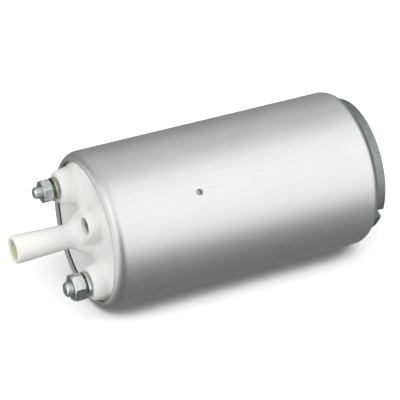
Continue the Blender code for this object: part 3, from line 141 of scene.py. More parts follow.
STUD_HEAD_DROP = 1.6 * MM
STUD_HEAD_RIM = 1.0 * MM
STUD_HEAD_HEIGHT = 1.5 * MM
STUD_BEVEL = 0.03 * MM
THREAD_ROWS = 8
NUT_LIFT = 1.6 * MM
NUT_CLEARANCE = 0.1 * MM
NUT_SINK = 0.35 * MM
NUT_SEAT = 0.95
NUT_CHAMFER = math.radians(30.0)
NUT_BEVEL = 0.1 * MM
WIRE_HALF = 0.5 * MM
WIRE_EDGE = 0.12 * MM
WASHER_START = math.radians(-54.0)
WASHER_SPAN = math.radians(348.0)
WASHER_STEPS = 96
WASHER_BEVEL = 0.04 * MM

# Inlet cover
INLET_FACE_RADIUS = 22.5 * MM
INLET_EDGE = 0.4 * MM
INLET_ENTRY = math.radians(200.0) + 1.6 / 15.0
NOTCH_ANGLE = math.radians(-53.6)
NOTCH_WIDTH = 4.0 * MM
NOTCH_DEPTH = 2.8 * MM
NOTCH_MARGIN = 1.0 * MM

# Inner pieces
INNER_BEVEL = 0.08 * MM
INNER_ANGLE = 30.0
WELD_DISTANCE = 0.001 * MM

# Colours laid over the base colours: painted shade on the can's lip, in the dimple and along the cover's
# seam; the real tones of the nozzle's end and of its bore
LIP_PAINTED_SHADE = (0.20, 0.20, 0.17)
DIMPLE_PAINTED_SHADE = (0.10, 0.10, 0.10)
NOZZLE_WHITE = (0.89, 0.885, 0.835)
BORE_AMBER = (0.90, 0.89, 0.74)
SEAM_PAINTED_SHADE = (0.10, 0.10, 0.095)

# Camera; the lens and the sensor are in millimetres
TARGET = Vector((0.0, 0.0, 45.0 * MM))
CAMERA_ELEVATION = math.radians(22.51)
CAMERA_ROLL = math.radians(-104.24)
CAMERA_DISTANCE = 809.0 * MM
CAMERA_RIGHT = 10.676 * MM
CAMERA_UP = 1.876 * MM
CAMERA_LENS = 221.8
CAMERA_SENSOR = 36.0
CAMERA_NEAR = 0.05
CAMERA_FAR = 50.0

# Lamps: azimuth, elevation, half width and half height in degrees, and radiance
LAMPS = {
    "key": (2.0, -28.0, 48.0, 38.0, 1.3),
    "top": (82.0, -5.0, 35.0, 40.0, 0.5),
    "side": (20.0, 36.0, 30.0, 26.0, 1.15),
    "front": (0.0, 90.0, 40.0, 40.0, 1.0),
}
LAMP_DISTANCE = 0.9
WORLD_STRENGTH = 0.16

# Stage: the pale bench that the pump lies against in the picture, with a painted shadow near the pump
BENCH_ANGLE = math.radians(236.4)
BENCH_SIZE = 6.0
BENCH_GAP = 0.05 * MM
BENCH_PAINTED_SHADOW = (0.5, 0.5, 0.5, 1.0)
BENCH_OPEN = (1.4, 1.4, 1.4, 1.0)
SHADE_REACH = 10.0 * MM
SHADE_START = 0.2
SHADE_END = 0.38


# Helpers

def direction(azimuth, elevation):
    """Unit vector from the pump, azimuth counted from +X towards +Y."""
    return Vector((math.cos(azimuth) * math.cos(elevation), math.sin(azimuth) * math.cos(elevation),
                   math.sin(elevation)))


def spot_of(radius, angle):
    return (radius * math.cos(angle), radius * math.sin(angle))


def arc(centre, radius, start, end, steps):
    points = []
    for index in range(steps + 1):
        angle = start + (end - start) * index / steps
        points.append((centre[0] + radius * math.cos(angle), centre[1] + radius * math.sin(angle)))
    return points


def new_object(name, data):
    item = bpy.data.objects.new(name, data)
    bpy.context.scene.collection.objects.link(item)
    return item


def mesh_of(name, cage):
    mesh = bpy.data.meshes.new(name)
    cage.to_mesh(mesh)
    cage.free()
    return mesh


def turned(name, profile, steps, closed=True):
    """Mesh turned round the Z axis from (radius, height) points, its outer side top to bottom."""
    cage = bmesh.new()
    verts = [cage.verts.new((radius, 0.0, height)) for radius, height in profile]
    ends = list(zip(verts, verts[1:])) + ([(verts[-1], verts[0])] if closed else [])
    edges = [cage.edges.new(pair) for pair in ends]
    bmesh.ops.spin(cage, geom=verts + edges, cent=(0.0, 0.0, 0.0), axis=(0.0, 0.0, 1.0),
                   angle=2.0 * math.pi, steps=steps, use_merge=True)
    bmesh.ops.remove_doubles(cage, verts=cage.verts, dist=WELD_DISTANCE)
    bmesh.ops.recalc_face_normals(cage, faces=cage.faces)
    return mesh_of(name, cage)


def bridge(cage, one, two):
    """Join two rings of equal count by quads."""
    for index in range(len(one)):
        after = (index + 1) % len(one)
        cage.faces.new((one[index], one[after], two[after], two[index]))


def baked(item):
    """Replace an object's mesh by what its modifiers make of it."""
    bpy.context.view_layer.update()
    graph = bpy.context.evaluated_depsgraph_get()
    mesh = bpy.data.meshes.new_from_object(item.evaluated_get(graph))
    item.modifiers.clear()
    item.data = mesh
    return item


def combine(item, other, operation):
    """Cut, join or trim an object by another one, which is used up."""
    step = item.modifiers.new(other.name, "BOOLEAN")
    step.operation = operation
    step.object = other
    baked(item)
    bpy.data.objects.remove(other, do_unlink=True)
    return item


def solid(name, profile, steps, spot=(0.0, 0.0)):
    """Turned object standing at a spot (x, y), its profile running from axis to axis."""
    item = new_object(name, turned(name, profile, steps, closed=False))
    item.location = (spot[0], spot[1], 0.0)
    return item


def post(name, radius, low, high, spot=(0.0, 0.0), steps=64):
    return solid(name, [(0.0, high), (radius, high), (radius, low), (0.0, low)], steps, spot)


def bevel(item, width, segments, angle):
    """Round the edges that turn by more than an angle in degrees."""
    edges = item.modifiers.new("Edges", "BEVEL")
    edges.width = width
    edges.segments = segments
    edges.limit_method = "ANGLE"
    edges.angle_limit = math.radians(angle)


def smooth(item, angle):
    item.data.shade_smooth()
    item.data.set_sharp_from_angle(angle=math.radians(angle))
    return item


def even(item):
    """Let the large faces set the shading at rounded edges, so that flats look flat."""
    step = item.modifiers.new("Even shading", "WEIGHTED_NORMAL")
    step.weight = 100
    step.keep_sharp = True
    return item


# Materials

class Surface:
    """A Principled material and the small node graphs that give it grain, wear and painted shade."""

    def __init__(self, name, colour, metallic, roughness):
        self.material = bpy.data.materials.new(name)
        self.material.use_nodes = True
        self.tree = self.material.node_tree
        self.shader = self.tree.nodes["Principled BSDF"]
        self.shader.inputs["Metallic"].default_value = metallic
        self.shader.inputs["Roughness"].default_value = roughness
        self.shader.inputs["Base Color"].default_value = (*colour, 1.0)
        self.colour = colour
        self.coordinate = self.node("ShaderNodeTexCoord").outputs["Object"]
        self.height = None

    def node(self, kind, **values):
        item = self.tree.nodes.new(kind)
        for key, value in values.items():
            setattr(item, key, value)
        return item

    def link(self, source, target):
        self.tree.links.new(source, target)

    def math(self, operation, first, second=0.0):
        item = self.node("ShaderNodeMath", operation=operation)
        for socket, value in zip(item.inputs, (first, second)):
            if isinstance(value, (int, float)):
                socket.default_value = value
            else:
                self.link(value, socket)
        return item.outputs[0]

    def blend(self, first, second, share):
        """Sum of two factors, the first by its share and the second by the rest."""
        return self.math("ADD", self.math("MULTIPLY", first, share),
                         self.math("MULTIPLY", second, 1.0 - share))

    def noise(self, scale, detail, vector=None, roughness=0.5):
        item = self.node("ShaderNodeTexNoise")
        item.inputs["Scale"].default_value = scale
        item.inputs["Detail"].default_value = detail
        item.inputs["Roughness"].default_value = roughness
        self.link(vector or self.coordinate, item.inputs["Vector"])
        return item.outputs["Fac"]

    def ranged(self, source, low, high, start=0.3, end=0.7):
        """Map a factor that mostly lies between start and end to low and high."""
        item = self.node("ShaderNodeMapRange")
        self.link(source, item.inputs["Value"])
        item.inputs["From Min"].default_value = start
        item.inputs["From Max"].default_value = end
        item.inputs["To Min"].default_value = low
        item.inputs["To Max"].default_value = high
        return item.outputs["Result"]

    def place(self):
        """Sockets of X, Y and Z."""
        parts = self.node("ShaderNodeSeparateXYZ")
        self.link(self.coordinate, parts.inputs[0])
        return parts.outputs

    def off_axis(self):
        """Square of the distance from the Z axis."""
        x, y, _ = self.place()
        return self.math("ADD", self.math("POWER", x, 2.0), self.math("POWER", y, 2.0))

    def rim(self, low, high, inner, outer):
        """Factor that goes from low to high between two distances from the Z axis."""
        return self.ranged(self.off_axis(), low, high, inner ** 2, outer ** 2)

    def stretched(self, along, across, depth):
        """Coordinates round the Z axis: turned length, height and radius, each scaled."""
        x, y, z = self.place()
        angle = self.math("ARCTAN2", y, x)
        radius = self.math("SQRT", self.off_axis())
        vector = self.node("ShaderNodeCombineXYZ")
        self.link(self.math("MULTIPLY", angle, along), vector.inputs[0])
        self.link(self.math("MULTIPLY", z, across), vector.inputs[1])
        self.link(self.math("MULTIPLY", radius, depth), vector.inputs[2])
        return vector.outputs[0]

    def tint(self, factor, low, high):
        """Let the base colour run between two shades of itself."""
        mix = self.node("ShaderNodeMix", data_type="RGBA")
        mix.inputs["A"].default_value = (*[value * low for value in self.colour], 1.0)
        mix.inputs["B"].default_value = (*[value * high for value in self.colour], 1.0)
        self.link(factor, mix.inputs["Factor"])
        self.link(mix.outputs["Result"], self.shader.inputs["Base Color"])
        return mix.outputs["Result"]

    def overlay(self, factor, base, shade):
        """Lay a shade over a base colour by a factor, and make the result the base colour."""
        mix = self.node("ShaderNodeMix", data_type="RGBA")
        self.link(factor, mix.inputs["Factor"])
        self.link(base, mix.inputs["A"])
        mix.inputs["B"].default_value = (*shade, 1.0)
        self.link(mix.outputs["Result"], self.shader.inputs["Base Color"])
        return mix.outputs["Result"]

    def worn_edges(self, base, shade):
        """Lighter metal where edges have been rubbed."""
        point = self.node("ShaderNodeNewGeometry").outputs["Pointiness"]
        self.overlay(self.ranged(point, 0.0, 1.0, 0.52, 0.6), base, shade)

    def rough(self, factor, low, high):
        self.link(self.ranged(factor, low, high), self.shader.inputs["Roughness"])

    def bump(self, factor, depth, strength):
        """Add a layer of relief, depth in metres."""
        item = self.node("ShaderNodeBump")
        item.inputs["Strength"].default_value = strength
        item.inputs["Distance"].default_value = depth
        self.link(factor, item.inputs["Height"])
        if self.height:
            self.link(self.height, item.inputs["Normal"])
        self.height = item.outputs["Normal"]
        self.link(self.height, self.shader.inputs["Normal"])

    def use_on(self, *items):
        for item in items:
            item.data.materials.clear()
            item.data.materials.append(self.material)


def brushed_can():
    """Satin steel with fine brushing round the can, with painted shade on its lip edge and in the dimple."""
    skin = Surface("brushed_steel", (0.66, 0.66, 0.66), 1.0, 0.42)
    skin.shader.inputs["Anisotropic"].default_value = 0.55
    tangent = skin.node("ShaderNodeTangent", direction_type="RADIAL", axis="Z")
    skin.link(tangent.outputs[0], skin.shader.inputs["Tangent"])
    streaks = skin.noise(1.0, 4.0, skin.stretched(1.2, 9000.0, 200.0))
    drawn = skin.noise(1.0, 3.0, skin.stretched(28.0, 110.0, 60.0))
    cloud = skin.blend(drawn, skin.noise(45.0, 3.0), 0.6)
    base = skin.tint(skin.ranged(cloud, 0.0, 1.0), 0.95, 1.03)
    # Painted shade: a dark line on the lip's edge, where the can meets the cover
    edge = skin.rim(0.35, 0.0, FRONT_LIP_RADIUS + 0.2 * MM, FRONT_LIP_RADIUS + 0.5 * MM)
    front = skin.ranged(skin.place()[2], 0.0, 1.0, CAN_FRONT - 8.0 * MM, CAN_FRONT - 7.0 * MM)
    base = skin.overlay(skin.math("MULTIPLY", edge, front), base, LIP_PAINTED_SHADE)
    # Painted shade: the staking dimple is darkened in colour round its middle
    pit = skin.node("ShaderNodeVectorMath", operation="DISTANCE")
    skin.link(skin.coordinate, pit.inputs[0])
    pit.inputs[1].default_value = (direction(DIMPLE_ANGLE, 0.0) * CAN_RADIUS
                                   + Vector((0.0, 0.0, DIMPLE_HEIGHT - 0.3 * MM)))
    painted_pit_shade = skin.ranged(pit.outputs["Value"], 0.85, 0.0, 0.7 * MM, 1.0 * MM)
    skin.overlay(painted_pit_shade, base, DIMPLE_PAINTED_SHADE)
    skin.rough(skin.blend(streaks, cloud, 0.6), 0.38, 0.46)
    skin.bump(streaks, 0.004 * MM, 0.5)
    skin.bump(skin.noise(900.0, 2.0), 0.003 * MM, 0.4)
    return skin


def white_acetal():
    """Satin white moulding, warmer towards the nozzle's end, with patchy painted shade along its seam with
    the can's lip.
    """
    skin = Surface("white_acetal", (0.89, 0.89, 0.88), 0.0, 0.38)
    skin.shader.inputs["Subsurface Weight"].default_value = 0.6
    skin.shader.inputs["Subsurface Radius"].default_value = (1.0, 0.95, 0.75)
    skin.shader.inputs["Subsurface Scale"].default_value = 1.5 * MM
    skin.shader.inputs["IOR"].default_value = 1.48
    base = skin.tint(skin.ranged(skin.noise(120.0, 3.0), 0.0, 1.0), 0.97, 1.01)
    tip = skin.ranged(skin.place()[2], 0.0, 1.0, CAN_FRONT + 4.0 * MM, CAN_FRONT + 20.0 * MM)
    base = skin.overlay(tip, base, NOZZLE_WHITE)
    bore = skin.rim(1.0, 0.0, NOZZLE_BORE + 0.05 * MM, NOZZLE_BORE + 0.5 * MM)
    base = skin.overlay(bore, base, BORE_AMBER)
    # Painted shade: a patchy dark ring on the land's edge, where the cover meets the can's lip
    painted_seam_shade = skin.rim(0.0, 1.0, NECK_RADIUS - 0.75 * MM, NECK_RADIUS - 0.35 * MM)
    patches = skin.ranged(skin.noise(160.0, 2.0), 0.35, 0.85)
    skin.overlay(skin.math("MULTIPLY", painted_seam_shade, patches), base, SEAM_PAINTED_SHADE)
    skin.rough(skin.noise(700.0, 2.0), 0.34, 0.44)
    skin.bump(skin.noise(260.0, 2.0), 0.03 * MM, 0.35)
    skin.bump(skin.noise(2600.0, 2.0), 0.006 * MM, 0.5)
    return skin


def die_cast():
    """Grey cast alloy with a matt grained skin."""
    skin = Surface("die_cast", (0.29, 0.33, 0.31), 0.85, 0.5)
    grain = skin.noise(1800.0, 4.0, roughness=0.65)
    speckle = skin.blend(grain, skin.noise(90.0, 3.0), 0.65)
    skin.tint(skin.ranged(speckle, 0.0, 1.0, 0.4, 0.6), 0.68, 1.12)
    skin.rough(grain, 0.42, 0.62)
    skin.bump(grain, 0.02 * MM, 0.5)
    return skin


def plated(name, colour, roughness):
    """Zinc-plated fastener, slightly mottled, brighter on its edges."""
    skin = Surface(name, colour, 1.0, roughness)
    base = skin.tint(skin.ranged(skin.noise(500.0, 4.0), 0.0, 1.0), 0.78, 1.1)
    skin.worn_edges(base, [min(1.0, value * 1.35) for value in colour])
    skin.rough(skin.noise(1300.0, 3.0), roughness - 0.07, roughness + 0.1)
    skin.bump(skin.noise(2200.0, 3.0), 0.006 * MM, 0.5)
    return skin


def turned_metal(name, colour, roughness, pitch=0.05 * MM):
    """Machined metal with fine rings round its axis."""
    skin = Surface(name, colour, 1.0, roughness)
    rings = skin.noise(1.0, 3.0, skin.stretched(0.8, 1.0 / pitch, 1.0 / pitch))
    skin.tint(skin.ranged(rings, 0.0, 1.0), 0.9, 1.06)
    skin.rough(rings, roughness - 0.05, roughness + 0.08)
    skin.bump(rings, 0.004 * MM, 0.5)
    return skin


def moulded(name, colour, roughness):
    """Phenolic, rubber or carbon: matt with a fine speckle."""
    skin = Surface(name, colour, 0.0, roughness)
    grain = skin.noise(1500.0, 4.0, roughness=0.6)
    skin.tint(skin.ranged(grain, 0.0, 1.0), 0.75, 1.35)
    skin.rough(skin.noise(400.0, 2.0), roughness - 0.08, roughness + 0.1)
    skin.bump(grain, 0.01 * MM, 0.5)
    return skin


def laminated():
    """Edge of a stack of electrical steel sheets, 0.5 mm each."""
    skin = Surface("laminations", (0.30, 0.31, 0.33), 0.9, 0.45)
    sheet = skin.math("PINGPONG", skin.place()[2], 0.25 * MM)
    joint = skin.ranged(sheet, 0.0, 1.0, 0.0, 0.04 * MM)
    cloud = skin.noise(600.0, 3.0)
    skin.tint(skin.math("MULTIPLY", joint, skin.ranged(cloud, 0.7, 1.0)), 0.55, 1.1)
    skin.rough(cloud, 0.4, 0.55)
    skin.bump(joint, 0.03 * MM, 0.6)
    return skin


def wound_copper():
    """Enamelled wire, laid side by side and dipped in varnish."""
    skin = Surface("enamelled_wire", (0.48, 0.20, 0.08), 0.75, 0.33)
    wave = skin.node("ShaderNodeTexWave", wave_type="BANDS", bands_direction="DIAGONAL")
    wave.inputs["Scale"].default_value = 420.0
    wave.inputs["Distortion"].default_value = 2.5
    wave.inputs["Detail"].default_value = 2.0
    skin.link(skin.coordinate, wave.inputs["Vector"])
    skin.tint(wave.outputs["Fac"], 0.6, 1.2)
    skin.rough(skin.noise(500.0, 2.0), 0.28, 0.42)
    skin.bump(wave.outputs["Fac"], 0.12 * MM, 0.7)
    return skin


# Pieces

def fine_can():
    """The rolled can with round edges and its staking dimple, in fine steps."""
    rear_centre = (CAN_RADIUS - REAR_ROLL, CAN_REAR + REAR_ROLL)
    front_centre = (CAN_RADIUS - FRONT_ROLL, CAN_FRONT - FRONT_ROLL)
    rear_lip = INLET_FACE_RADIUS + SEAT_GAP

    def end_turn(lip, centre, radius):
        return math.acos((lip - centre[0]) / radius)

    front_out = end_turn(FRONT_LIP_RADIUS, front_centre, FRONT_ROLL)
    front_in = end_turn(FRONT_LIP_RADIUS, front_centre, FRONT_ROLL - CAN_WALL)
    rear_out = end_turn(rear_lip, rear_centre, REAR_ROLL)
    rear_in = end_turn(rear_lip, rear_centre, REAR_ROLL - CAN_WALL)
    profile = arc(front_centre, FRONT_ROLL, front_out, 0.0, 24)
    wall_steps = 12
    low = rear_centre[1]
    high = front_centre[1]
    profile += [(CAN_RADIUS, high + (low - high) * index / wall_steps) for index in range(1, wall_steps)]
    profile += arc(rear_centre, REAR_ROLL, 0.0, -rear_out, 20)
    profile += arc(rear_centre, REAR_ROLL - CAN_WALL, -rear_in, 0.0, 8)
    profile += arc(front_centre, FRONT_ROLL - CAN_WALL, 0.0, front_in, 10)
    item = new_object("can_shell", turned("can_shell", profile, 192))
    outside = (DIMPLE_RADIUS ** 2 - DIMPLE_DEPTH ** 2) / (2.0 * DIMPLE_DEPTH)
    cage = bmesh.new()
    bmesh.ops.create_uvsphere(cage, u_segments=48, v_segments=32, radius=outside + DIMPLE_DEPTH)
    ball = new_object("dimple_tool", mesh_of("dimple_tool", cage))
    ball.location = direction(DIMPLE_ANGLE, 0.0) * (CAN_RADIUS + outside) + Vector((0.0, 0.0, DIMPLE_HEIGHT))
    combine(item, ball, "DIFFERENCE")
    bevel(item, LIP_EDGE, 3, 50.0)
    baked(item)
    smooth(item, 40.0)
    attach(item, "housing")
    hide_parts("can")
    return item


def flank(height, edge, draft):
    """Side of a form that stands on the land: round top edge, drafted side and hollow foot."""
    top = LAND + height
    points = arc((-edge, top - edge), edge, math.pi / 2.0, 0.0, 8)
    points += arc((draft + FORM_FILLET, LAND + FORM_FILLET * 0.95), FORM_FILLET,
                  math.pi, math.pi + FORM_TURN, 10)
    points.append((points[-1][0], LAND - 1.0 * MM))
    return points


def boss(terminal):
    """Drafted boss under a terminal, trimmed to the land."""
    side = flank(terminal["boss"], BOSS_EDGE, BOSS_FOOT_RADIUS - BOSS_TOP_RADIUS)
    profile = [(0.0, side[0][1])] + [(BOSS_TOP_RADIUS + out, level) for out, level in side]
    profile.append((0.0, side[-1][1]))
    item = solid("boss_" + terminal["name"], profile, 72, spot_of(terminal["offset"], terminal["angle"]))
    room = post("boss_room", LAND_RADIUS - 0.2 * MM, LAND - 1.5 * MM, NOZZLE_TOP, steps=128)
    return combine(item, room, "INTERSECT")


def tower():
    """Lofted tower round the relief valve and the root of the nozzle."""
    cage = bmesh.new()
    rings = []
    for out, level in flank(RELIEF_HEIGHT, TOWER_EDGE, TOWER_DRAFT):
        front = TOWER_FRONT + out
        back = TOWER_BACK + out
        tangent = math.acos((back - front) / RELIEF_OFFSET)
        loop = arc((RELIEF_OFFSET, 0.0), front, -tangent, tangent, 40)
        loop += arc((0.0, 0.0), back, tangent, 2.0 * math.pi - tangent, 24)
        rings.append([cage.verts.new((x, y, level)) for x, y in loop])
    cage.faces.new(rings[0])
    cage.faces.new(rings[-1][::-1])
    for upper, lower in zip(rings, rings[1:]):
        bridge(cage, upper, lower)
    bmesh.ops.recalc_face_normals(cage, faces=cage.faces)
    item = new_object("tower", mesh_of("tower", cage))
    item.rotation_euler.z = RELIEF_ANGLE
    return item


def cover_profile():
    """The cover's turned shape above the cut, from the nozzle's end down."""
    centre_radius = CAN_RADIUS - FRONT_ROLL
    centre_level = CAN_FRONT - FRONT_ROLL
    neck_turn = math.acos((NECK_RADIUS - centre_radius) / SHOULDER_RADIUS)
    low_turn = math.asin((UPPER_CUT - centre_level) / SHOULDER_RADIUS)
    chamfer_turn = (neck_turn + low_turn) / 2.0
    flat = NOZZLE_END_RADIUS - NOZZLE_EDGE
    profile = [(0.0, NOZZLE_TOP), (flat, NOZZLE_TOP)]
    profile += arc((flat, NOZZLE_TOP - NOZZLE_EDGE), NOZZLE_EDGE, math.pi / 2.0, 0.0, 6)[1:]
    profile += arc((NOZZLE_RADIUS + ROOT_FILLET, LAND + ROOT_HEIGHT), ROOT_FILLET,
                   math.pi, math.pi + ROOT_TURN, 16)
    profile += arc((FOOT_RADIUS + FOOT_FILLET, LAND + FOOT_FILLET), FOOT_FILLET,
                   math.pi + FOOT_TURN, 1.5 * math.pi, 10)
    profile += [(LAND_RADIUS, LAND), (NECK_RADIUS, LAND - LAND_CHAMFER)]
    profile += arc((centre_radius, centre_level), SHOULDER_RADIUS, chamfer_turn, low_turn, 6)
    profile.append((0.0, UPPER_CUT))
    return profile


def soften(item):
    """Blend the joins of the moulding: most at the land, least at the rim and on the nozzle."""
    group = item.vertex_groups.new(name="soft")
    for vertex in item.data.vertices:
        height = (vertex.co.z - LAND) / MM
        weight = BLEND_LEAST
        if height >= BLEND_LOWEST:
            weight = max(BLEND_LEAST, min(1.0, 1.0 - (height - BLEND_FULL_TO) / BLEND_FADE))
        group.add([vertex.index], weight, "REPLACE")
    step = item.modifiers.new("Blend", "SMOOTH")
    step.factor = 0.5
    step.iterations = BLEND_PASSES
    step.vertex_group = "soft"
    return baked(item)


def soft_cover():
    """The outlet cover as one moulding, its joins blended into each other."""
    item = solid("cover_moulding", cover_profile(), 144)
    combine(item, tower(), "UNION")
    for terminal in (M4, M5):
        combine(item, boss(terminal), "UNION")
    remesh = item.modifiers.new("Remesh", "REMESH")
    remesh.mode = "VOXEL"
    remesh.voxel_size = VOXEL
    baked(item)
    soften(item)
    for terminal in (M4, M5):
        spot = spot_of(terminal["offset"], terminal["angle"])
        hole = post("stud_hole", terminal["stud"] + SEAT_GAP, ROOF, NOZZLE_TOP, spot, 60)
        combine(item, hole, "DIFFERENCE")
    over = NOZZLE_TOP + BORE_MARGIN
    bore = solid("nozzle_bore", [
        (0.0, over), (NOZZLE_BORE + BORE_CHAMFER + BORE_MARGIN, over),
        (NOZZLE_BORE, NOZZLE_TOP - BORE_CHAMFER), (NOZZLE_BORE, ROOF), (0.0, ROOF)], 96)
    combine(item, bore, "DIFFERENCE")
    relief = post("relief_mouth", RELIEF_MOUTH, ROOF, NOZZLE_TOP, spot_of(RELIEF_OFFSET, RELIEF_ANGLE), 60)
    combine(item, relief, "DIFFERENCE")
    skirt = new_object("cover_skirt", NODES["outlet_cover"].data.copy())
    below = post("below", CAN_RADIUS, SKIRT_BOTTOM - 1.0 * MM, UPPER_CUT + 0.5 * MM)
    combine(skirt, below, "INTERSECT")
    both = bmesh.new()
    both.from_mesh(item.data)
    both.from_mesh(skirt.data)
    both.to_mesh(item.data)
    both.free()
    bpy.data.objects.remove(skirt, do_unlink=True)
    smooth(item, 50.0)
    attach(item, "housing")
    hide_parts("outlet_cover")
    return item


def fine_inlet():
    """Die-cast inlet cover in fine steps, with its notch, ports and flow channel."""
    centre = (CAN_RADIUS - REAR_ROLL, CAN_REAR + REAR_ROLL)
    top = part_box("inlet_cover")[1].z
    shoulder = REAR_ROLL - CAN_WALL - SEAT_GAP
    turn = math.acos((INLET_FACE_RADIUS - centre[0]) / shoulder)
    profile = [(0.0, top), (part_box("inlet_cover")[1].x, top)]
    profile += arc(centre, shoulder, 0.0, -turn, 8)
    profile += arc((INLET_FACE_RADIUS - INLET_EDGE, INLET_EDGE), INLET_EDGE, 0.0, -math.pi / 2.0, 5)
    profile.append((0.0, 0.0))
    item = solid("inlet_casting", profile, 192)
    size = (NOTCH_DEPTH + NOTCH_MARGIN, NOTCH_WIDTH, CAN_REAR + NOTCH_MARGIN)
    cage = bmesh.new()
    bmesh.ops.create_cube(cage, size=1.0, matrix=Matrix.Diagonal((*size, 1.0)))
    notch = new_object("notch", mesh_of("notch", cage))
    reach = INLET_FACE_RADIUS - NOTCH_DEPTH / 2.0 + NOTCH_MARGIN / 2.0
    notch.location = (*spot_of(reach, NOTCH_ANGLE), (CAN_REAR - NOTCH_MARGIN) / 2.0)
    notch.rotation_euler.z = NOTCH_ANGLE
    combine(item, notch, "DIFFERENCE")
    # Radius, lowest and highest level and distance from the axis in millimetres, and angle
    for name, radius, low, high, offset, angle in (
            ("port", 4.2, -1.0, 6.2, 14.0, INLET_ENTRY),
            ("throat", 1.6, 5.0, 12.0, 15.0, INLET_ENTRY),
            ("pin", 1.5, -1.0, 4.0, 13.0, math.radians(20.0)),
            ("vent", 0.7, -1.0, 12.0, 15.0, math.radians(300.0)),
            ("pocket", 3.1, top / MM - 3.6, 12.0, 0.0, 0.0)):
        spot = spot_of(offset * MM, angle)
        combine(item, post(name, radius * MM, low * MM, high * MM, spot, 48), "DIFFERENCE")
    even(smooth(item, 15.0))
    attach(item, "housing")
    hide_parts("inlet_cover")
    return item


def ringed(name, rows, steps, start=0.0, loop=False):
    """Mesh from rows round the Z axis; a row is a function of the angle that gives (radius, level)."""
    cage = bmesh.new()
    rings = []
    for row in rows:
        ring = []
        for index in range(steps):
            angle = start + 2.0 * math.pi * index / steps
            radius, level = row(angle)
            ring.append(cage.verts.new((*spot_of(radius, angle), level)))
        rings.append(ring)
    if not loop:
        cage.faces.new(rings[0])
        cage.faces.new(rings[-1])
    for one, two in zip(rings, rings[1:] + rings[:1] if loop else rings[1:]):
        bridge(cage, one, two)
    bmesh.ops.recalc_face_normals(cage, faces=cage.faces)
    return mesh_of(name, cage)


def plain(radius, level):
    return lambda angle: (radius, level)


def fastener(name, mesh, terminal, node, width):
    item = new_object(name, mesh)
    item.location = (*spot_of(terminal["offset"], terminal["angle"]), 0.0)
    bevel(item, width, 2, 28.0)
    baked(item)
    even(smooth(item, 30.0))
    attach(item, "housing")
    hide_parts(node)
    return item


def stud(terminal):
    """Stud with a cut helical thread, a chamfered tip and its head under the cover."""
    radius = terminal["stud"]
    pitch = terminal["pitch"]
    tip = LAND + terminal["boss"] + STUD_REACH
    head_top = ROOF - STUD_HEAD_DROP
    head = radius + STUD_HEAD_RIM

    def threaded(level):
        def row(angle):
            share = (level / pitch - angle / (2.0 * math.pi)) % 1.0
            groove = min(1.0, max(0.0, 1.35 * abs(2.0 * share - 1.0) - 0.15))
            crest = min(radius, radius - STUD_TIP + (tip - level))
            return (min(radius - 0.5 * pitch * groove, crest), level)
        return row

    rows = [plain(head, head_top - STUD_HEAD_HEIGHT), plain(head, head_top),
            plain(radius - 0.5 * pitch, head_top)]
    count = int((tip - head_top) / pitch * THREAD_ROWS)
    rows += [threaded(head_top + (tip - head_top) * index / count) for index in range(1, count + 1)]
    name = "stud_" + terminal["name"]
    return fastener(name, ringed(name, rows, 40), terminal, "terminal_" + name, STUD_BEVEL)


def hex_nut(terminal):
    """Hexagon nut, its corners turned off at both ends and its bore countersunk."""
    half = terminal["flats"] / 2.0
    seat = half * NUT_SEAT
    bore = terminal["stud"] + NUT_CLEARANCE
    low = LAND + terminal["boss"] + NUT_LIFT + terminal["rise"]
    high = low + terminal["nut"]
    turn = terminal["turn"]

    def side(top):
        def row(angle):
            around = (angle - turn) % (math.pi / 3.0) - math.pi / 6.0
            radius = half / math.cos(around)
            drop = (radius - seat) * math.tan(NUT_CHAMFER)
            return (radius, high - drop if top else low + drop)
        return row

    rows = [plain(bore, low + NUT_SINK), plain(bore + NUT_SINK, low), plain(seat, low), side(False),
            side(True), plain(seat, high), plain(bore + NUT_SINK, high), plain(bore, high - NUT_SINK)]
    name = "nut_" + terminal["name"]
    mesh = ringed(name, rows, 96, turn, loop=True)
    return fastener(name, mesh, terminal, "terminal_" + name, NUT_BEVEL)


def split_washer(terminal):
    """Spring lock washer: a square wire wound once, its sheared ends apart in height."""
    inner = terminal["stud"] + SEAT_GAP
    half_wall = (terminal["washer"] - inner) / 2.0
    section = []
    for across, up in ((-1, -1), (1, -1), (1, 1), (-1, 1)):
        first = (across * (half_wall - WIRE_EDGE), up * WIRE_HALF)
        second = (across * half_wall, up * (WIRE_HALF - WIRE_EDGE))
        section += [first, second] if across * up < 0 else [second, first]
    bottom = LAND + terminal["boss"] + SEAT_GAP
    cage = bmesh.new()
    rings = []
    for index in range(WASHER_STEPS + 1):
        share = index / WASHER_STEPS
        angle = WASHER_START + WASHER_SPAN * share
        level = bottom + WIRE_HALF + terminal["rise"] * share
        rings.append([cage.verts.new((*spot_of(inner + half_wall + across, angle), level + up))
                      for across, up in section])
    for one, two in zip(rings, rings[1:]):
        bridge(cage, one, two)
    cage.faces.new(rings[0])
    cage.faces.new(rings[-1])
    bmesh.ops.recalc_face_normals(cage, faces=cage.faces)
    name = "lock_washer_fine_" + terminal["name"]
    mesh = mesh_of(name, cage)
    return fastener(name, mesh, terminal, "lock_washer_" + terminal["name"], WASHER_BEVEL)


def refine(item):
    """Give a CAD node welded, softened edges and smooth shading."""
    normals = item.data.attributes.get("custom_normal")
    if normals:
        item.data.attributes.remove(normals)
    item.data.shade_smooth()
    weld = item.modifiers.new("Weld", "WELD")
    weld.merge_threshold = WELD_DISTANCE
    bevel(item, INNER_BEVEL, 2, INNER_ANGLE)
    split = item.modifiers.new("Sharp edges", "EDGE_SPLIT")
    split.split_angle = math.radians(INNER_ANGLE)


# Light, stage and camera

